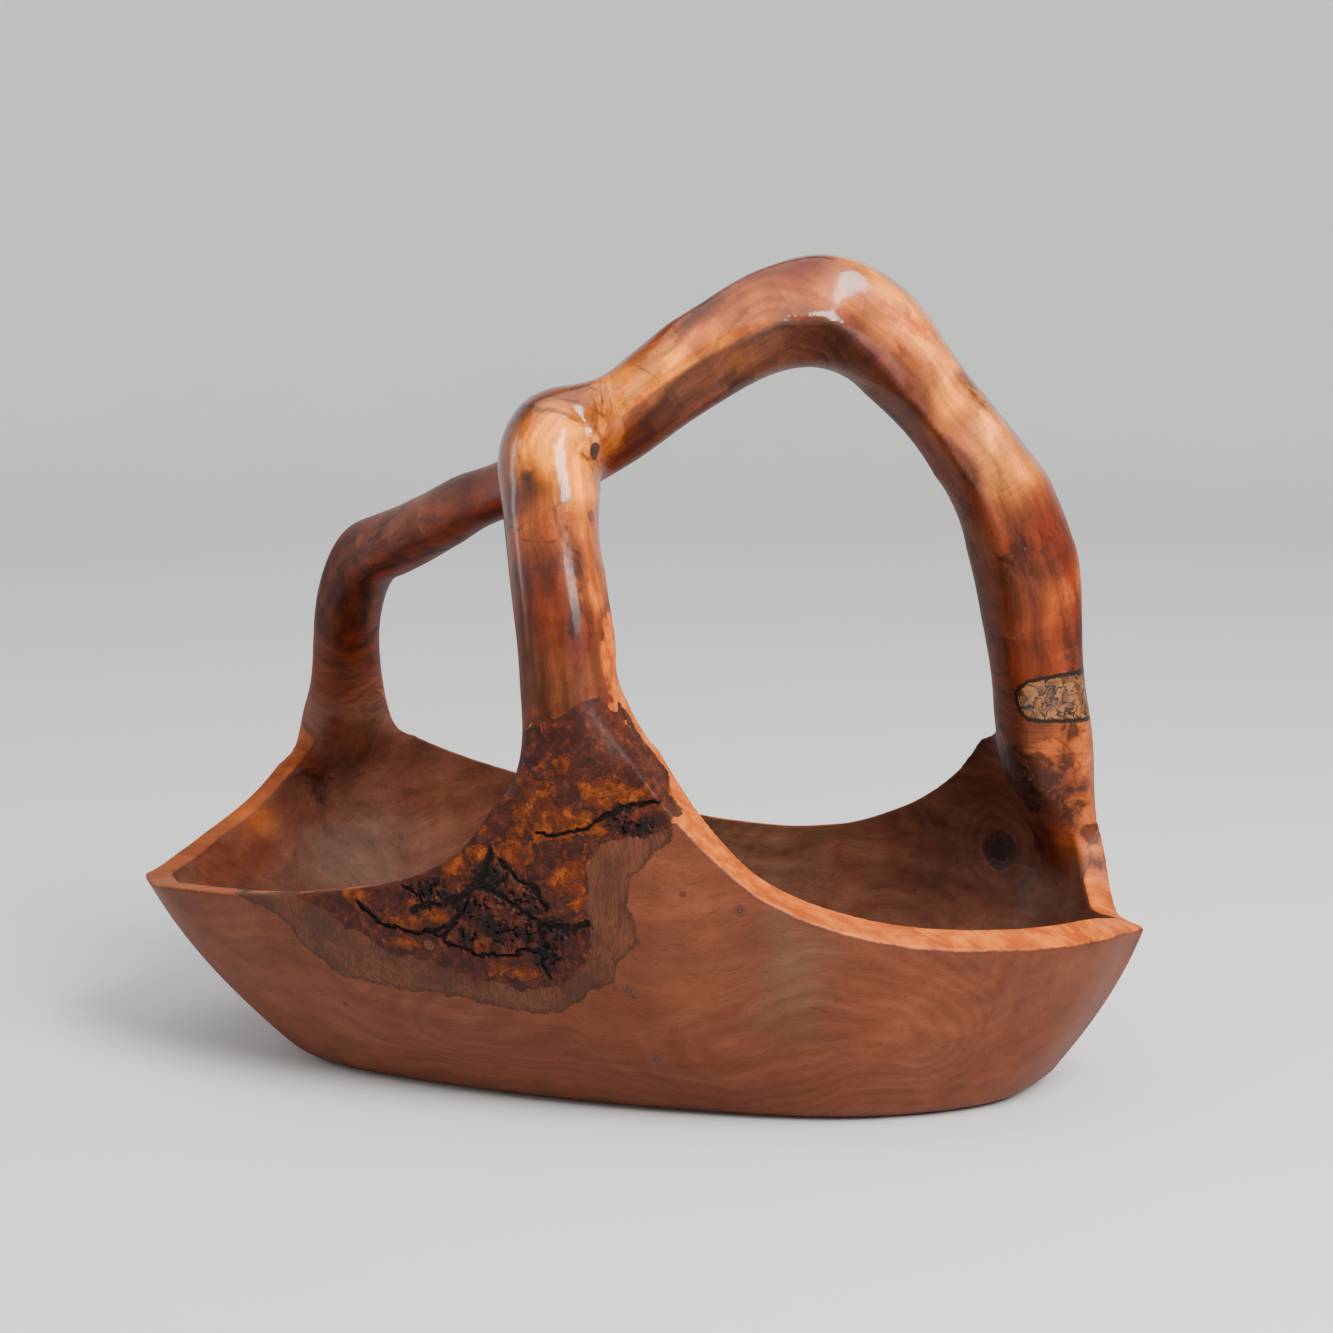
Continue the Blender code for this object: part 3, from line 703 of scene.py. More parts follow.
# dabs of tone: (x, y, z, radius, tone, strength); the palest dabs, on the crown's right shoulder, are partly
# a painted highlight
DABS = [
    (68, -82, 62, 12, "grey", 0.9), (66, -76, 44, 11, "grey", 0.7), (62, -84, 76, 8, "grey", 0.5),
    (100, -64, 40, 20, "sand", 0.5), (98, -52, 14, 16, "pink", 0.5), (28, -90, 88, 12, "sand", 0.4),
    (34, -84, 50, 20, "sand", 0.4), (-8, -60, 6, 40, "brown", 0.25), (-103, -56, 18, 26, "pink", 0.8),
    (-59, -72, 28, 22, "pink", 0.6), (-140, -56, 52, 16, "pink", 0.6), (-166, -46, 62, 16, "brown", 0.4),
    (145, -30, 45, 20, "tan", 0.5), (130, -42, 25, 16, "rust", 0.25), (-12, -95, 158, 17, "leg", 1.0),
    (-28, -90, 162, 14, "leg", 0.9), (-4, -84, 168, 11, "leg", 0.8), (-6, -80, 178, 9, "rust", 0.9),
    (-4, -74, 190, 6, "umber", 0.9), (-12, -80, 197, 8, "umber", 0.8), (-20, -81, 190, 8, "brown", 1.0),
    (-6, -74, 187, 6, "umber", 0.8), (-24, -84, 178, 9, "rust", 0.8), (-24, -82, 192, 8, "rust", 0.8),
    (-14, -77, 205, 6, "rust", 0.9), (-24, -79, 204, 9, "orange", 0.8), (-30, -76, 212, 7, "brown", 0.9),
    (-14, -74, 213, 6, "orange", 0.9), (-26, -73, 223, 8, "rust", 0.8), (-14, -68, 226, 9, "amber", 0.95),
    (-26, -66, 236, 10, "amber", 0.9), (-16, -62, 238, 9, "amber", 0.95), (-5, -66, 205, 9, "orange", 0.9),
    (-4, -72, 188, 7, "orange", 0.8), (-7, -60, 222, 8, "amber", 0.9), (-38, -66, 205, 9, "plum", 0.8),
    (-38, -60, 226, 9, "rust", 0.8), (-36, -56, 245, 6, "brown", 0.9), (-24, -50, 250, 9, "rust", 0.9),
    (-10, -46, 252, 10, "orange", 0.8), (2, -52, 250, 11, "amber", 0.8), (9, -44, 260, 7, "rust", 0.5),
    (14, -46, 261, 11, "amber", 0.8), (24, -38, 262, 8, "orange", 0.8), (31, -34, 271, 9, "orange", 0.9),
    (37, -30, 265, 8, "amber", 0.6), (43, -26, 279, 9, "orange", 0.8), (47, -22, 272, 8, "sand", 0.9),
    (54, -16, 287, 8, "rust", 0.9), (60, -16, 280, 8, "orange", 0.9), (66, -6, 293, 8, "amber", 0.6),
    # the four palest dabs, on the crown's right shoulder (x 84 to 117, z 233 to 281), are pale amber wood
    # with a painted highlight of the light's glare
    (28, -30, 280, 8, "brown", 0.5), (74, -6, 287, 8, "amber", 0.8), (84, -2, 281, 11, "amber_and_glare", 1.0),
    (94, 3, 268, 10, "amber_and_glare", 1.0), (103, 8, 255, 9, "amber_and_glare", 1.0), (102, 5, 246, 7, "amber", 0.9),
    (117, 14, 233, 10, "amber_and_glare", 0.95), (121, 14, 221, 10, "amber", 0.8), (97, 14, 274, 8, "orange", 0.8),
    (107, 12, 249, 7, "brown", 0.95), (114, 16, 241, 5, "rust", 0.9), (120, 26, 238, 8, "rust", 0.7),
    (110, 8, 226, 8, "rust", 0.8), (114, 10, 210, 9, "brown", 0.8), (128, 20, 205, 9, "rust", 0.9),
    (116, 14, 192, 9, "leg", 0.8), (134, 22, 190, 9, "brown", 0.7), (126, 20, 180, 10, "leg", 0.8),
    (136, 26, 170, 9, "rust", 0.9), (118, 22, 163, 9, "leg", 0.7), (142, 36, 180, 9, "orange", 0.7),
    (130, 26, 155, 9, "rust", 0.8), (143, 38, 152, 8, "brown", 0.8), (134, 28, 121, 7, "orange", 0.7),
    (122, 34, 126, 9, "brown", 0.8), (144, 37, 120, 8, "orange", 0.8), (140, 32, 113, 6, "rust", 0.9),
    (118, 44, 112, 9, "umber", 0.9), (143, 37, 110, 7, "orange", 0.8), (146, 42, 98, 6, "orange", 0.7),
    (133, 43, 93, 9, "brown", 0.9), (138, 37, 103, 6, "rust", 0.7), (150, 43, 88, 7, "orange", 0.9),
    (139, 40, 86, 7, "rust", 0.7), (152, 41, 77, 8, "orange", 0.8), (152, 26, 64, 8, "rust", 0.8),
    (129, 51, 57, 12, "plum", 0.7), (113, 64, 58, 12, "pink", 0.6), (97, 68, 51, 14, "pink", 0.7),
    (124, 58, 92, 10, "rust", 0.6), (106, 68, 88, 12, "brown", 0.6), (136, 44, 78, 8, "rust", 0.8),
    (10, 86, 66, 40, "grey", 0.6), (60, 80, 60, 26, "pink", 0.6), (-60, 84, 60, 34, "brown", 0.4),
    (-155, 58, 84, 14, "plum", 0.9), (-131, 76, 92, 12, "brown", 0.5), (-146, 58, 54, 15, "grey", 0.7),
    (-180, 36, 76, 10, "orange", 0.55), (-163, 50, 67, 12, "rust", 0.6), (-174, 34, 62, 10, "rust", 0.9),
    (-184, 16, 60, 12, "rust", 0.7), (-108, 84, 76, 18, "pink", 0.6), (-143, 38, 174, 12, "brown", 0.8),
    (-134, 36, 160, 9, "umber", 0.9), (-142, 46, 136, 9, "umber", 0.8), (-133, 54, 144, 8, "rust", 0.9),
    (-152, 50, 124, 9, "rust", 0.9), (-144, 54, 108, 9, "brown", 0.8), (-160, 54, 92, 9, "rust", 0.9),
    (-126, 26, 190, 9, "leg", 0.9), (-110, 12, 198, 10, "leg", 0.8), (-94, -2, 202, 9, "rust", 0.8),
    (-79, -15, 208, 9, "leg", 0.7), (-62, -29, 214, 10, "brown", 0.9), (-100, 4, 190, 8, "brown", 0.8),
    (-91, -6, 205, 9, "sand", 0.7), (-104, 4, 198, 8, "sand", 0.5), (-76, -18, 208, 7, "sand", 0.5),
    (-150, 46, 150, 8, "brown", 0.6),
]
# dark flames and stains: (x, y, z, radius)
FLAMES = [
    (118, 42, 113, 9), (124, 36, 110, 9), (128, 32, 110, 9), (136, 37, 102, 5), (141, 36, 112, 3),
    (146, 42, 104, 3), (124, 50, 94, 5), (142, 41, 95, 4), (149, 43, 85, 3.5), (153, 39, 76, 4),
    (128, 40, 120, 5), (140, 36, 126, 4), (108, 12, 249, 4), (112, 14, 243, 3), (33, -29, 252, 3),
    (27, -31, 248, 2.5), (110, 20, 246, 3), (47, -24, 288, 3), (28, -38, 281, 3), (-28, -76, 224, 3),
    (-12, -79, 203, 5), (-8, -84, 178, 6), (-9, -78, 190, 5), (-36, -74, 208, 5), (-8, -60, 231, 4),
    (-35, -57, 243, 4), (-133, 54, 144, 4), (-128, 56, 136, 4), (-143, 37, 168, 5), (-158, 54, 84, 5),
    (127, 52, 80, 4), (120, 14, 190, 4), (138, 36, 152, 4), (-150, 48, 150, 4),
]
# round knots: point and radius in mm
KNOTS = [((-61, -87, 63), 1.9), ((10, -87, 52), 2.2), ((49, -89, 83), 2.0), ((16, -73, 24), 2.0),
         ((12, -86, 49), 1.3), ((5, -87, 53), 1.0), ((-117, -71, 56), 1.8), ((-100, -66, 33), 1.3),
         ((30, -91, 88), 1.4), ((-146, 44, 141), 1.6), ((-9, -65, 210), 2.2), ((58, -84, 68), 1.6)]
# thin dark lines: half width and the points that they run through
LINES = [
    (0.9, [(-38, -52, 244), (-34, -57, 246), (-28, -60, 245), (-23, -59, 245), (-18, -58, 243),
           (-14, -56, 241), (-10, -55, 239), (-8, -54, 235)]),
    (0.6, [(-33, -50, 249), (-29, -53, 250), (-23, -54, 249), (-16, -52, 247), (-8, -53, 243),
           (-4, -50, 238)]),
    (0.5, [(-28, -46, 253), (-24, -46, 253), (-17, -45, 253), (-12, -47, 251)]),
    (0.5, [(-2, -42, 261), (0, -43, 260), (9, -47, 256), (12, -49, 254)]),
    (0.4, [(17, -46, 258), (22, -37, 249)]),
    (0.6, [(-24, -74, 222), (-19, -76, 216), (-17, -78, 209)]),
    (0.5, [(66, -78, 50), (92, -70, 40), (108, -60, 36)]),
    (0.5, [(111, 12, 204), (124, 12, 199), (137, 23, 193)]),
    (0.6, [(114, 16, 185), (128, 18, 179), (140, 27, 175)]),
    (0.5, [(116, 18, 172), (128, 22, 165), (138, 29, 159)]),
    (0.5, [(122, 30, 151), (132, 27, 150), (144, 38, 152)]),
    (0.5, [(126, 30, 127), (131, 28, 122), (136, 29, 124), (141, 34, 119), (145, 39, 111)]),
    (0.5, [(131, 28, 127), (137, 30, 119), (142, 36, 114), (143, 38, 106), (147, 42, 98)]),
    (0.5, [(138, 37, 105), (143, 39, 97), (148, 43, 90), (150, 43, 82)]),
    (0.6, [(-36, -72, 218), (-28, -77, 213), (-19, -77, 214), (-11, -72, 219)]),
    (0.6, [(-37, -72, 208), (-28, -79, 203), (-18, -80, 203), (-9, -76, 209)]),
    (0.6, [(-36, -76, 199), (-27, -82, 194), (-16, -82, 194), (-6, -76, 199)]),
]
# left edge of the sapwood on the front leg: (z, x)
LEG_STRIP = [(117, 24), (130, 14), (142, 6), (153, 1.5), (163, -1), (173, -2), (182, -2.5), (189, -2.5),
             (200, -1)]
FAR = -9.0              # stands for a place that is well outside a band
FAR_FROM_BURL = -40.0
FAR_FROM_SPALT = -20.0
LIMBS_FROM_Z = 95       # no point below this height belongs to a limb
LIMB_GRAIN_Z = (105, 150)   # the grain turns from the bowl's to the limbs' between these heights
LIMB_TONE_Z = (118, 145)
HORN_Z = (68, 82)       # the bright band ends between these heights on the right horn
STRIP_TOP_Z = 200
FLAME_SPREAD = 2.6
CHUNK = 20000           # points compared with a centre line at a time
FACES_ALIKE = 0.75      # least cosine between a face and the slope that it is shaded by


def limb_coordinates(points, stations):
    """Place along a limb's centre line, and across it, with the distance to the line."""
    centres, outers, fronts, _, _ = limb_frame(stations, 8)
    run = np.concatenate([[0], np.cumsum(lengths(np.diff(centres, axis=0)))])
    nearest = np.concatenate([
        ((points[start:start + CHUNK, None] - centres) ** 2).sum(-1).argmin(1)
        for start in range(0, len(points), CHUNK)] or [np.empty(0, int)])
    away = points - centres[nearest]
    u = (away * outers[nearest]).sum(1)
    v = (away * fronts[nearest]).sum(1)
    return np.stack([run[nearest], v, u], 1), lengths(away)


def limb_places(points):
    """Coordinates along the beam and along the front leg, and how much of the leg each point is."""
    high = points[:, 2] > LIMBS_FROM_Z
    beam = np.zeros((len(points), 3))
    leg = np.zeros((len(points), 3))
    share = np.zeros(len(points))
    beam[high], to_beam = limb_coordinates(points[high], BEAM)
    leg[high], to_leg = limb_coordinates(points[high], FRONT_LEG)
    share[high] = smoothstep(to_beam - to_leg, -3, 3)
    return beam, leg, share


def grain_at(points, beam, leg, share):
    """Wood coordinates: the first runs along the fibres, the others across them."""
    limb = beam * (1 - share[:, None]) + leg * share[:, None] + (0, 0, 130)
    lift = smoothstep(points[:, 2], *LIMB_GRAIN_Z)[:, None]
    return points * (1, -1, 1) * (1 - lift) + limb * lift


def underside(points, beam, share):
    """Painted shade: the share of each point that lies on the whittled flats below the crown's crisp edge,
    which the tint darkens to stand for their shade.
    """
    angle = np.degrees(np.arctan2(beam[:, 1], beam[:, 2]))
    below = np.maximum(smoothstep(angle, 93, 99), smoothstep(-angle, 112, 124))
    x = points[:, 0]
    fade = 1 - 0.5 * smoothstep(x, 66, 96)
    return below * (1 - share) * smoothstep(x, -14, 8) * (1 - smoothstep(x, 100, 122)) * fade


def tint_at(points, hull, hollow, below):
    """Base tone of the wall, the hollow and the limbs, with the dabs laid over it and painted shade on the
    crown's underside.
    """

    def over(colour, tone, share):
        return colour + (np.array(tone) - colour) * share[:, None]

    inside = smoothstep(-hull - np.abs(hollow), 0, 6) * (points[:, 2] < 120)
    limb_tone = 0.6 * np.array(TONES["rust"]) + 0.4 * np.array(TONES["brown"])
    colour = over(np.array(TONES["tan"]), TONES["dusk"], inside)
    colour = over(colour, limb_tone, smoothstep(points[:, 2], *LIMB_TONE_Z))
    wander = points + 3 * np.sin(points[:, [1, 2, 0]] / 7 + (0, 1, 2))
    wander = wander + 2 * np.sin(points[:, [2, 0, 1]] / 3)
    for x, y, z, radius, tone, strength in DABS:
        share = strength * np.exp(-((wander - (x, y, z)) ** 2).sum(1) / radius ** 2)
        colour = over(colour, TONES[tone], share)
    # painted shade: the flats below the crown's crisp edge are darkened most of the way to a dark brown
    return over(colour, TONES["under"], 0.85 * below)


def fields_at(points):
    """The vectors that the materials read, by attribute name."""
    hull, hollow, above = parts_at(points)[:3]
    beam, leg, leg_share = limb_places(points)
    x, y, z = points.T
    front = np.maximum(3 * (hull + 3), smoothstep(z, 104, 112) * (-y - 74))
    front = np.where(y < -30, front, FAR_FROM_BURL)
    burl = np.minimum(outline_distance(x, z, BURL), front)
    pith = np.minimum(outline_distance(x, z, PITH), front)
    solid = soft_max(hull, -z, FOOT_ROUND)
    shell = np.maximum(solid, -soft_max(hollow, FLOOR - z, FLOOR_ROUND))
    rim = np.where(z < 150, np.minimum(-above - shell, above + 4), FAR)
    rim = np.where((x > 100) & (y > 10), rim - 8 * smoothstep(z, *HORN_Z), rim)
    heights, edges = np.array(LEG_STRIP, float).T
    strip = np.minimum(x - np.interp(z, heights, edges), 0.25 * (STRIP_TOP_Z - z))
    strip = np.where((y < -45) & (z > 112), strip, FAR)
    on_horn = (y < 58) & (y > 0) & (x > 110)
    spalt = np.where(on_horn, outline_distance(x, z, SPALT), FAR_FROM_SPALT)
    knot = np.min([lengths(points - centre) / radius for centre, radius in KNOTS], axis=0)
    line = np.min([path_distance(points, path) / half for half, path in LINES], axis=0)
    black = np.where(pith > -8, blots(x, z, BLACK_BLOTS), 0)
    amber = np.where(pith > -8, blots(x, z, AMBER_BLOTS), 0)
    flame = np.max([np.exp(-((points - middle) ** 2).sum(1) / (FLAME_SPREAD * size * size))
                    for *middle, size in FLAMES], axis=0)
    flame = flame * (1 - 0.35 * smoothstep(z, 140, 165))
    facing_up = unit(slope_at(points))[:, 2]
    gloss = 0.05 + 0.85 * smoothstep(z - 0.15 * np.maximum(x, -20), 168, 216)
    gloss = gloss * (0.15 + 0.85 * smoothstep(facing_up, -0.45, 0.15))
    gloss = gloss * (0.2 + 0.8 * smoothstep(x, -65, -35))
    figure = 0.20 + 0.25 * smoothstep(-hull, 2, 6) + 0.80 * smoothstep(z, 90, 140)
    figure = figure * (1 - 0.6 * np.exp(-((z - 127) / 17) ** 2))
    tint = tint_at(points, hull, hollow, underside(points, beam, leg_share))
    return {
        "grain": grain_at(points, beam, leg, leg_share), "tint": tint,
        "zones": np.stack([burl, pith, rim], 1), "edges": np.stack([strip, spalt, knot], 1),
        "marks": np.stack([line, black, amber], 1), "finish": np.stack([gloss, figure, flame], 1),
    }


def smooth_normals(mesh):
    """Shades each corner by the carving's own slope where its face follows it, so seams don't show."""
    mesh.shade_smooth()
    normals = unit(stored(mesh, "slope"))[read(mesh.loops, "vertex_index", kind=np.int32)]
    sizes = read(mesh.polygons, "loop_total", kind=np.int32)
    face = np.repeat(read(mesh.polygons, "normal", 3), sizes, axis=0)
    follows = (normals * face).sum(1) > FACES_ALIKE
    mesh.normals_split_custom_set(np.where(follows[:, None], normals, face).tolist())


# ---------------------------------------------------------------- materials
CRINKLE = (0.45, 3.0, 0.6)
INK = (0.012, 0.006, 0.004)
SPALT_EDGE = (-0.1, 0.4)


class Recipe:
    """Makes one node material. Most of its methods add a node and give back its output socket."""

    def __init__(self, name, colour=None, coat_roughness=0.12):
        self.material = bpy.data.materials.new(name)
        self.material.use_nodes = True
        self.tree = self.material.node_tree
        self.shader = self.tree.nodes["Principled BSDF"]
        self.shader.inputs["Coat Roughness"].default_value = coat_roughness
        self.shader.inputs["Coat IOR"].default_value = 1.48
        self.shader.inputs["Specular IOR Level"].default_value = 0.14
        self.colour = colour

    def feed(self, socket, value):
        if isinstance(value, bpy.types.NodeSocket):
            self.tree.links.new(value, socket)
        else:
            socket.default_value = value

    def node(self, kind, inputs, **settings):
        node = self.tree.nodes.new("ShaderNode" + kind)
        for name, value in settings.items():
            setattr(node, name, value)
        for socket, value in inputs.items():
            self.feed(node.inputs[socket], value)
        return node

    def field(self, name):
        return self.node("Attribute", {}, attribute_name=name).outputs["Vector"]

    def split(self, vector):
        return self.node("SeparateXYZ", {0: vector}).outputs

    def math(self, operation, a, b=0.0, c=0.0):
        return self.node("Math", {0: a, 1: b, 2: c}, operation=operation).outputs[0]

    def vector(self, operation, a, b, c=(0.0, 0.0, 0.0)):
        return self.node("VectorMath", {0: a, 1: b, 2: c}, operation=operation).outputs[0]

    def times(self, product, *factors):
        for factor in factors:
            product = self.math("MULTIPLY", product, factor)
        return product

    def plus(self, a, b):
        return self.math("ADD", a, b)

    def less(self, a, b):
        return self.math("SUBTRACT", a, b)

    def ragged(self, value, noise, amount):
        """The value, raised where the noise is above a half and lowered where it is below."""
        return self.plus(value, self.times(self.less(noise, 0.5), amount))

    def bright(self, colour, amount):
        """The colour, or any vector, times an amount."""
        return self.node("VectorMath", {0: colour, 3: amount}, operation="SCALE").outputs[0]

    def place(self):
        """Place on the object in millimetres."""
        return self.bright(self.node("TexCoord", {}).outputs["Object"], 1000.0)

    def distance(self, place, middle):
        away = self.vector("SUBTRACT", place, middle)
        return self.node("VectorMath", {0: away}, operation="LENGTH").outputs["Value"]

    def moved(self, vector, by, amount):
        """The vector pushed about by noise that changes over a length of 1 / by."""
        cloud = self.node("TexNoise", {"Vector": vector, "Scale": by, "Detail": 2.0}).outputs["Color"]
        centred = self.vector("SUBTRACT", cloud, (0.5, 0.5, 0.5))
        return self.vector("MULTIPLY_ADD", centred, (amount,) * 3, vector)

    def noise(self, vector, scale=1.0, detail=3.0, roughness=0.55):
        inputs = {"Vector": vector, "Scale": scale, "Detail": detail, "Roughness": roughness}
        return self.node("TexNoise", inputs).outputs[0]

    def drawn(self, vector, scales, detail=1.0, roughness=0.55):
        """Noise drawn out by its own scale along each axis; two scales are along and across the grain."""
        return self.noise(self.vector("MULTIPLY", vector, (*scales, scales[-1])[:3]), 1.0, detail, roughness)

    def step(self, value, low, high, start=0.0, end=1.0):
        inputs = {0: value, 1: low, 2: high, 3: start, 4: end}
        return self.node("MapRange", inputs, interpolation_type="SMOOTHSTEP").outputs[0]

    def between(self, value, rise, fall):
        """One between a rising step and a falling one."""
        return self.times(self.step(value, *rise), self.step(value, *fall))

    def ripple(self, value, per_unit):
        """Soft lines that follow the value, from 0 to 1."""
        wave = self.math("SINE", self.times(value, per_unit))
        return self.math("MULTIPLY_ADD", wave, 0.5, 0.5)

    def veins(self, cloud):
        """How far the cloud is from its middle value, which it takes along thin lines."""
        return self.math("ABSOLUTE", self.less(cloud, 0.5))

    def mix(self, share, a, b, blend="MIX"):
        node = self.node("Mix", {}, data_type="RGBA", blend_type=blend)
        for socket, value in ((0, share), (6, a), (7, b)):
            self.feed(node.inputs[socket], (*value, 1.0) if isinstance(value, tuple) else value)
        return node.outputs[2]

    def paint(self, tone, *shares):
        """Lays a tone over the colour, as far as the product of the shares."""
        self.colour = self.mix(self.times(*shares), self.colour, tone)

    def stain(self, tone, *shares):
        """Multiplies the colour by a tone, as far as the product of the shares."""
        self.colour = self.mix(self.times(*shares), self.colour, tone, "MULTIPLY")

    def bump(self, height, distance, strength):
        inputs = {"Height": height, "Distance": distance, "Strength": strength}
        self.feed(self.shader.inputs["Normal"], self.node("Bump", inputs).outputs[0])

    def finish(self, roughness, coat):
        self.feed(self.shader.inputs["Base Color"], self.colour)
        self.feed(self.shader.inputs["Roughness"], roughness)
        self.feed(self.shader.inputs["Coat Weight"], coat)
        return self.material


def wood_figure(r, grain, tint, figure):
    """Growth rings, streaks, smears, pores and cross-grain curl on the base tone."""
    flow = r.moved(grain, 0.014, 40.0)
    eddies = r.moved(flow, 0.05, 8.0)
    rings = r.ripple(r.drawn(flow, (0.005, 0.012)), 170.0)
    ring_share = r.step(r.drawn(flow, (0.006, 0.02)), 0.45, 0.62)
    streaks = r.drawn(eddies, (0.010, 0.13), 4.0, 0.6)
    fibres = r.drawn(eddies, (0.035, 1.1), 3.0, 0.7)
    pores = r.step(r.drawn(eddies, (0.11, 1.9)), 0.60, 0.72)
    curl = r.drawn(eddies, (0.12, 0.03), 3.0, 0.5)
    strong = r.plus(0.5, r.times(figure, 2.6))
    light = r.times(r.ragged(1.0, streaks, strong), r.ragged(1.0, fibres, 0.6),
                    r.ragged(1.0, curl, r.times(figure, 1.3)), r.less(1.0, r.times(pores, 0.22)))
    r.colour = r.bright(tint, r.math("MAXIMUM", light, 0.25))
    r.stain((0.86, 0.72, 0.62), rings, ring_share, 0.6)
    smear = r.drawn(r.moved(eddies, 0.15, 5.0), (0.022, 0.085), 4.0, 0.6)
    r.stain((0.62, 0.36, 0.28), r.step(smear, 0.53, 0.64), figure, 0.75)
    r.stain((1.35, 1.45, 1.45), r.step(smear, 0.46, 0.36), figure, 0.5)
    return fibres, pores


def heart_of_burl(r, near, amber, black):
    """Dark red-brown heart with amber islands, and how sooty it is."""
    swirl = r.moved(r.moved(near, 0.06, 10.0), 0.22, 3.0)
    mottle = r.noise(swirl, 0.22, 4.0, 0.62)
    colour = r.mix(r.step(mottle, 0.38, 0.60), (0.030, 0.007, 0.004), (0.074, 0.015, 0.006))
    colour = r.mix(r.step(mottle, 0.56, 0.68), colour, (0.16, 0.032, 0.006))
    islands = r.ragged(amber, r.noise(r.moved(near, 0.11, 16.0), 0.14, 2.5, 0.5), 2.6)
    lit = r.plus(r.times(islands, 0.22), r.noise(swirl, 0.24, 4.0, 0.65))
    core = r.mix(r.step(lit, 0.58, 1.0), (0.080, 0.014, 0.002), (0.30, 0.066, 0.006))
    colour = r.mix(r.step(islands, 0.44, 0.50), colour, core)
    outline = r.between(islands, (0.36, 0.44), (0.58, 0.47))
    colour = r.mix(r.times(outline, 0.8), colour, (0.022, 0.006, 0.004))
    threads = r.step(r.veins(r.noise(swirl, 0.33, 2.0)), 0.026, 0.006)
    colour = r.mix(r.times(threads, 0.8), colour, (0.022, 0.007, 0.004))
    soot = r.ragged(black, r.noise(swirl, 0.16, 5.0, 0.68), 3.2)
    return colour, r.step(soot, 0.55, 0.90), mottle


def spalt_tone(r, near):
    """Pale rotten wood crossed by black zone lines."""
    swirl = r.moved(near, 0.16, 6.0)
    cloud = r.noise(swirl, 0.30, 4.0, 0.6)
    pale = r.mix(r.step(cloud, 0.38, 0.62), (0.085, 0.031, 0.010), (0.25, 0.092, 0.026))
    veins = r.veins(r.noise(swirl, 0.17, 2.0))
    return r.mix(r.step(veins, 0.034, 0.016), pale, (0.016, 0.008, 0.006))


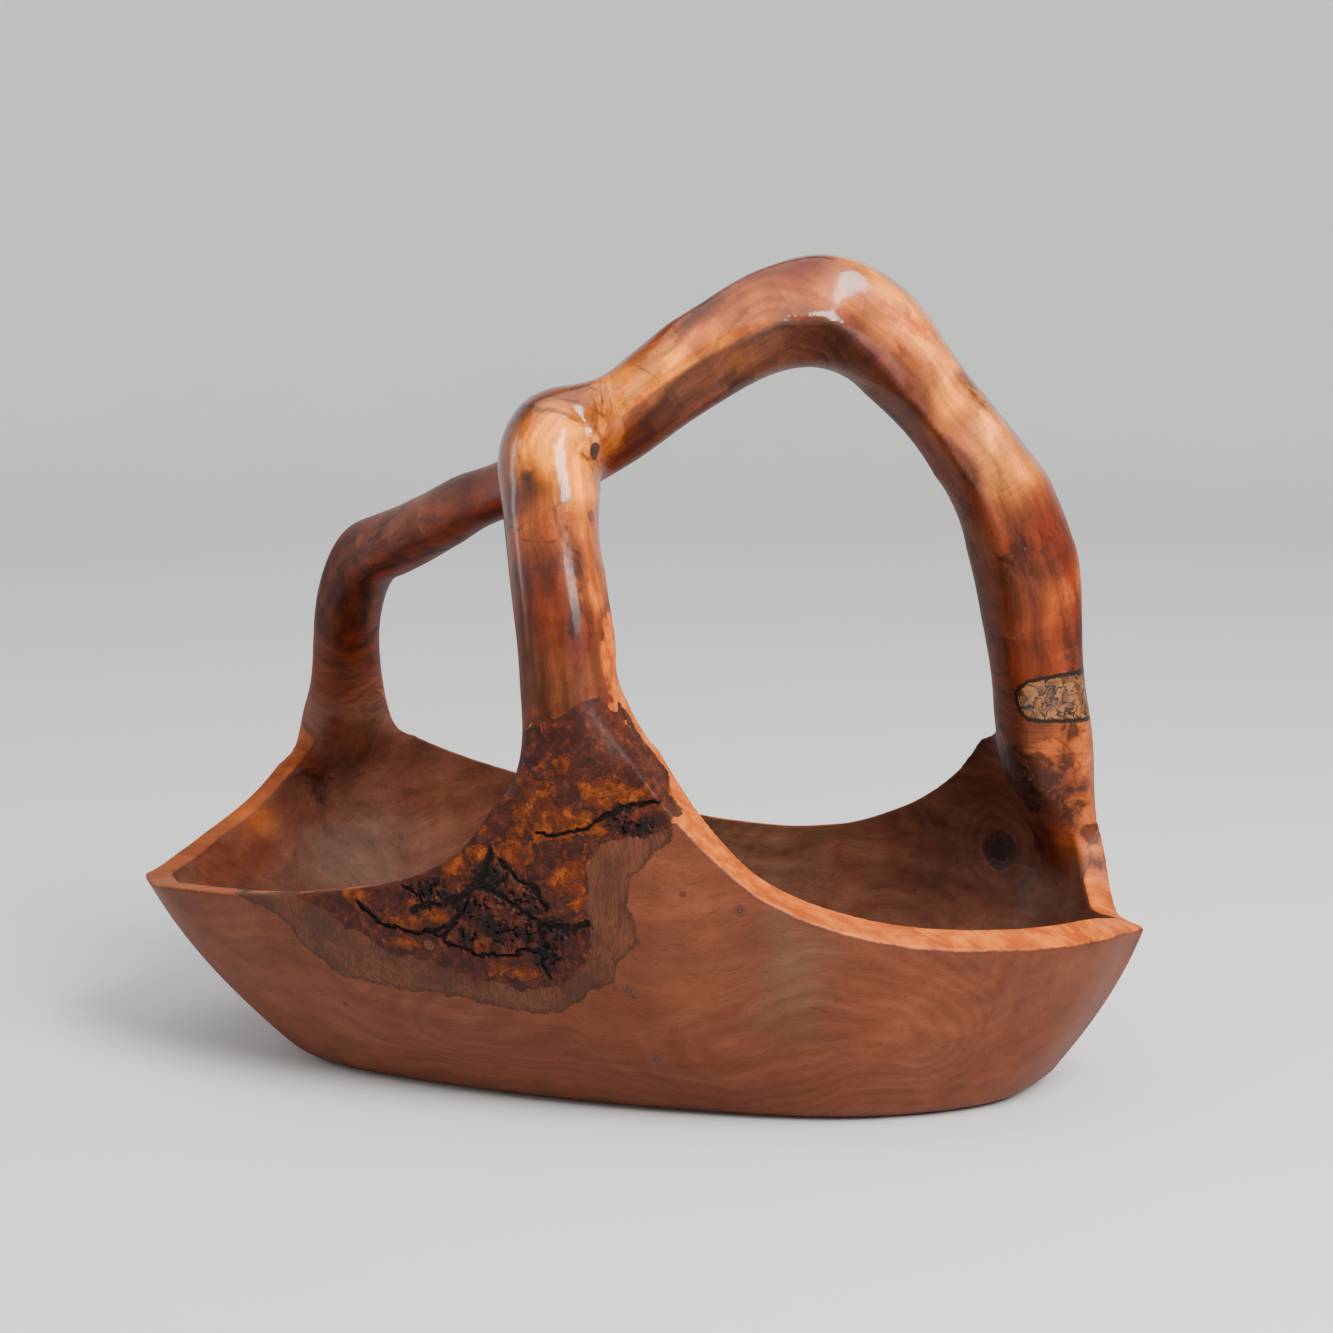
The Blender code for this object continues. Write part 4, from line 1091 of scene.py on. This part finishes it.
def carved_wood():
    r = Recipe("carved_wood")
    near = r.place()
    gloss, figure, flame = r.split(r.field("finish"))
    fibres, pores = wood_figure(r, r.field("grain"), r.field("tint"), figure)
    burl, pith, rim = r.split(r.field("zones"))
    strip, spalt, knot = r.split(r.field("edges"))
    line, black, amber = r.split(r.field("marks"))
    wander = r.noise(near, 0.12, 4.0, 0.6)
    crinkle = r.noise(near, *CRINKLE)

    def wiggly(value, wide, fine):
        return r.ragged(r.ragged(value, wander, wide), crinkle, fine)

    # bright band of sapwood along the rim and up the leg, duller and thinner at the left end
    edge = wiggly(r.math("MAXIMUM", rim, r.math("MINIMUM", strip, 3.0)), 2.5, 1.0)
    stripes = r.drawn(r.moved(near, 0.05, 6.0), (0.05, 0.22), 4.0, 0.6)
    sapwood = r.mix(r.step(stripes, 0.34, 0.68), (0.36, 0.058, 0.003), (0.66, 0.150, 0.010))
    right_end = r.step(r.split(near)[0], -70.0, -5.0, 0.35, 0.92)
    r.paint(sapwood, r.step(edge, -0.3, 0.4), right_end)
    r.paint((0.05, 0.015, 0.010), r.between(edge, (-1.6, -0.6), (0.1, -0.4)), 0.35)

    # taupe burl with hair-like streaks and a crisp wiggly edge
    burl = wiggly(burl, 8.0, 1.0)
    hair = r.drawn(r.moved(near, 0.08, 7.0), (1.6, 1.2, 0.07), 4.0, 0.7)
    clouds = r.noise(near, 0.055, 3.0, 0.6)
    taupe = r.mix(r.step(clouds, 0.40, 0.62), (0.070, 0.024, 0.012), (0.118, 0.038, 0.018))
    taupe = r.mix(r.times(r.step(hair, 0.44, 0.60), 0.65), taupe, (0.040, 0.014, 0.007))
    inside_burl = r.step(burl, -0.25, 0.25)
    r.paint(taupe, inside_burl)
    r.paint((0.030, 0.010, 0.006), r.between(burl, (-0.5, 0.3), (1.6, 0.5)), 0.5)
    heart, soot, mottle = heart_of_burl(r, near, amber, black)
    inside_pith = r.times(r.step(wiggly(pith, 8.0, 3.0), -0.3, 0.6), inside_burl)
    r.paint(heart, inside_pith)

    # dark flames elsewhere, cracks and thin lines
    licks = r.noise(r.moved(near, 0.09, 14.0), 0.16, 4.0, 0.6)
    r.paint((0.022, 0.006, 0.003), r.step(r.ragged(flame, licks, 2.6), 0.35, 0.95), 0.85)
    crack = r.node("Attribute", {}, attribute_name="crack").outputs["Fac"]
    soot = r.math("MAXIMUM", r.times(soot, inside_pith), r.step(crack, 0.25, 0.6))
    r.paint((0.006, 0.0035, 0.003), soot, 0.96)
    r.paint((0.045, 0.010, 0.004), r.step(wiggly(line, 2.2, 2.2), 1.6, 0.4), 0.6)

    # pale spalt inside a thick black line that is open on the right
    spalt = r.ragged(spalt, crinkle, 2.0)
    r.paint(INK, r.step(spalt, -1.7, -1.1))
    r.paint(spalt_tone(r, near), r.step(spalt, *SPALT_EDGE))

    # swirls in the wall round the large knot, then small knots with rings round a dark heart
    middle, _, radius = PLUGS["wall_knot"][:3]
    reach = r.distance(r.moved(near, 0.03, 16.0), middle)
    fade = r.step(reach, 3.4 * radius, 1.2 * radius)
    r.stain((0.55, 0.45, 0.42), r.ripple(reach, 1.3), fade, 0.45)
    knot = r.ragged(knot, crinkle, 0.5)
    ringed = r.mix(r.ripple(knot, 14.0), (0.055, 0.016, 0.008), (0.105, 0.031, 0.015))
    r.paint(ringed, r.step(knot, 1.15, 0.95), 0.8)

    height = r.less(r.times(fibres, 0.30), r.times(pores, 0.25))
    r.bump(r.plus(height, r.times(inside_pith, mottle, 0.5)), 0.00022, 0.6)
    coat = r.times(gloss, r.less(1.0, r.math("MAXIMUM", soot, r.times(inside_burl, 0.3))))
    return r.finish(r.ragged(r.math("MULTIPLY_ADD", gloss, -0.20, 0.55), fibres, 0.2), coat)


def spalted_wood():
    r = Recipe("spalted_wood", INK)
    near = r.place()
    spalt = r.ragged(r.split(r.field("edges"))[1], r.noise(near, *CRINKLE), 2.0)
    r.paint(spalt_tone(r, near), r.step(spalt, *SPALT_EDGE))
    r.bump(r.noise(near, 0.9, 4.0), 0.0002, 0.6)
    return r.finish(0.42, 0.45)


def rotted_bark():
    """Dark crumbling inclusion with rusty flecks."""
    r = Recipe("rotted_bark", (0.012, 0.007, 0.005), 0.3)
    crumbs = r.noise(r.moved(r.place(), 0.2, 5.0), 0.5, 5.0, 0.65)
    r.paint((0.075, 0.024, 0.011), r.step(crumbs, 0.40, 0.62))
    r.paint((0.26, 0.085, 0.025), r.step(crumbs, 0.60, 0.70))
    r.bump(crumbs, 0.0010, 0.9)
    return r.finish(r.math("MULTIPLY_ADD", crumbs, 0.4, 0.4), 0.12)


def knot_wood(name, centre, radius):
    """Round rings about the knot's middle: dark in the large knots, close to the wall in the pins."""
    pin = "pin" in name
    r = Recipe(name, (0.055, 0.017, 0.009) if pin else (0.034, 0.014, 0.010))
    near = r.place()
    warped = r.moved(r.vector("SUBTRACT", near, centre), 0.25, radius * 0.35)
    share = r.times(r.distance(warped, (0.0, 0.0, 0.0)), 1.0 / radius)
    rings = r.ripple(share, 12.0 if pin else 26.0)
    dark = r.noise(near, 0.6, 4.0)
    r.paint((0.110, 0.034, 0.017) if pin else (0.080, 0.026, 0.014), rings)
    if not pin:
        r.paint((0.034, 0.016, 0.012), r.step(dark, 0.45, 0.62))
        r.paint((0.024, 0.013, 0.011), r.step(share, 0.52, 0.30))
    r.bump(r.plus(r.times(rings, 0.3), dark), 0.00015, 0.5)
    return r.finish(0.42, 0.15)


def studio_grey():
    """Finely mottled matt surface."""
    colour = (0.78, 0.78, 0.775)
    r = Recipe("studio_grey", tuple(0.97 * c for c in colour))
    cloud = r.noise(r.node("TexCoord", {}).outputs["Object"], 2.5, 4.0)
    r.paint(colour, r.step(cloud, 0.3, 0.7))
    return r.finish(0.55, 0.0)


def link(name, data):
    obj = bpy.data.objects.new(name, data)
    bpy.context.scene.collection.objects.link(obj)
    return obj


def place_piece(name, mesh, material):
    for field, values in fields_at(coordinates(mesh) / MM).items():
        store(mesh, field, values)
    smooth_normals(mesh)
    mesh.materials.clear()
    mesh.materials.append(material)
    piece = link(name + "_carved", mesh)
    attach(piece, "root")
    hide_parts(name)


def build_bowl():
    wood = carved_wood()
    special = {"spalted_patch": spalted_wood(), "leg_bark": rotted_bark()}
    for name, mesh in parted_pieces().items():
        if "knot" in name:
            centre, _, radius = PLUGS[name][:3]
            place_piece(name, mesh, knot_wood(name + "_rings", centre, radius))
        else:
            place_piece(name, mesh, special.get(name, wood))


# ---------------------------------------------------------------- stage, lights and camera
FLOOR_RADIUS = 1.6
COVE_RADIUS = 0.6
STAGE_HEIGHT = 2.2


def build_stage():
    """Round floor that curves up into a wall, so every view has the same plain backdrop."""
    profile = [(0.0, 0.0), (FLOOR_RADIUS * 0.5, 0.0)]
    for i in range(13):
        a = math.pi / 2 * i / 12
        profile.append((FLOOR_RADIUS + COVE_RADIUS * math.sin(a), COVE_RADIUS * (1 - math.cos(a))))
    profile.append((FLOOR_RADIUS + COVE_RADIUS, STAGE_HEIGHT))
    turns = 96
    angle = 2 * np.pi * np.arange(turns) / turns
    points = [(r * math.cos(a), r * math.sin(a), z) for r, z in profile[1:] for a in angle]
    points.append((0.0, 0.0, 0.0))
    faces = [(i, (i + 1) % turns, len(points) - 1) for i in range(turns)]
    for k in range(len(profile) - 2):
        for i in range(turns):
            j = (i + 1) % turns
            faces.append((k * turns + j, k * turns + i, (k + 1) * turns + i, (k + 1) * turns + j))
    mesh = bpy.data.meshes.new("studio")
    mesh.from_pydata(points, [], faces)
    mesh.shade_smooth()
    mesh.materials.append(studio_grey())
    link("studio", mesh)


TARGET = Vector((0.0, 0.0, 0.148))
CAMERA_DISTANCE = 1.10
VIEW = (15, 10)          # azimuth and elevation
LENS = 82.5
SENSOR = 36.0


def direction(azimuth, elevation):
    """Unit vector towards a place that is azimuth degrees right of the front and elevation degrees up."""
    a, e = math.radians(azimuth), math.radians(elevation)
    return Vector((math.sin(a) * math.cos(e), -math.cos(a) * math.cos(e), math.sin(e)))


def aim(obj, azimuth, elevation, distance):
    back = direction(azimuth, elevation)
    obj.location = TARGET + back * distance
    obj.rotation_euler = back.to_track_quat("Z", "Y").to_euler()


def build_light(name, place, size, power, tone=(1.0, 1.0, 1.0)):
    light = bpy.data.lights.new(name, "AREA")
    light.shape = "RECTANGLE"
    light.size, light.size_y = size
    light.energy = power
    light.color = tone
    aim(link(name, light), *place)


def build_studio():
    build_stage()
    build_light("key_softbox", (57, 42, 1.5), (0.7, 0.95), 44.0, (1.0, 0.985, 0.96))
    build_light("overhead", (0, 88, 1.9), (2.2, 2.2), 24.0)
    build_light("left_glow", (-78, 18, 1.6), (0.3, 1.2), 4.0, (0.95, 0.98, 1.0))
    world = bpy.data.worlds.new("studio_air")
    world.use_nodes = True
    air = world.node_tree.nodes["Background"]
    air.inputs["Color"].default_value = (0.86, 0.90, 0.94, 1.0)
    air.inputs["Strength"].default_value = 0.2
    bpy.context.scene.world = world
    camera = bpy.data.cameras.new("camera")
    camera.lens = LENS
    camera.sensor_width = SENSOR
    camera.sensor_height = SENSOR
    obj = link("camera", camera)
    aim(obj, *VIEW, CAMERA_DISTANCE)
    bpy.context.scene.camera = obj


build_studio()
build_bowl()
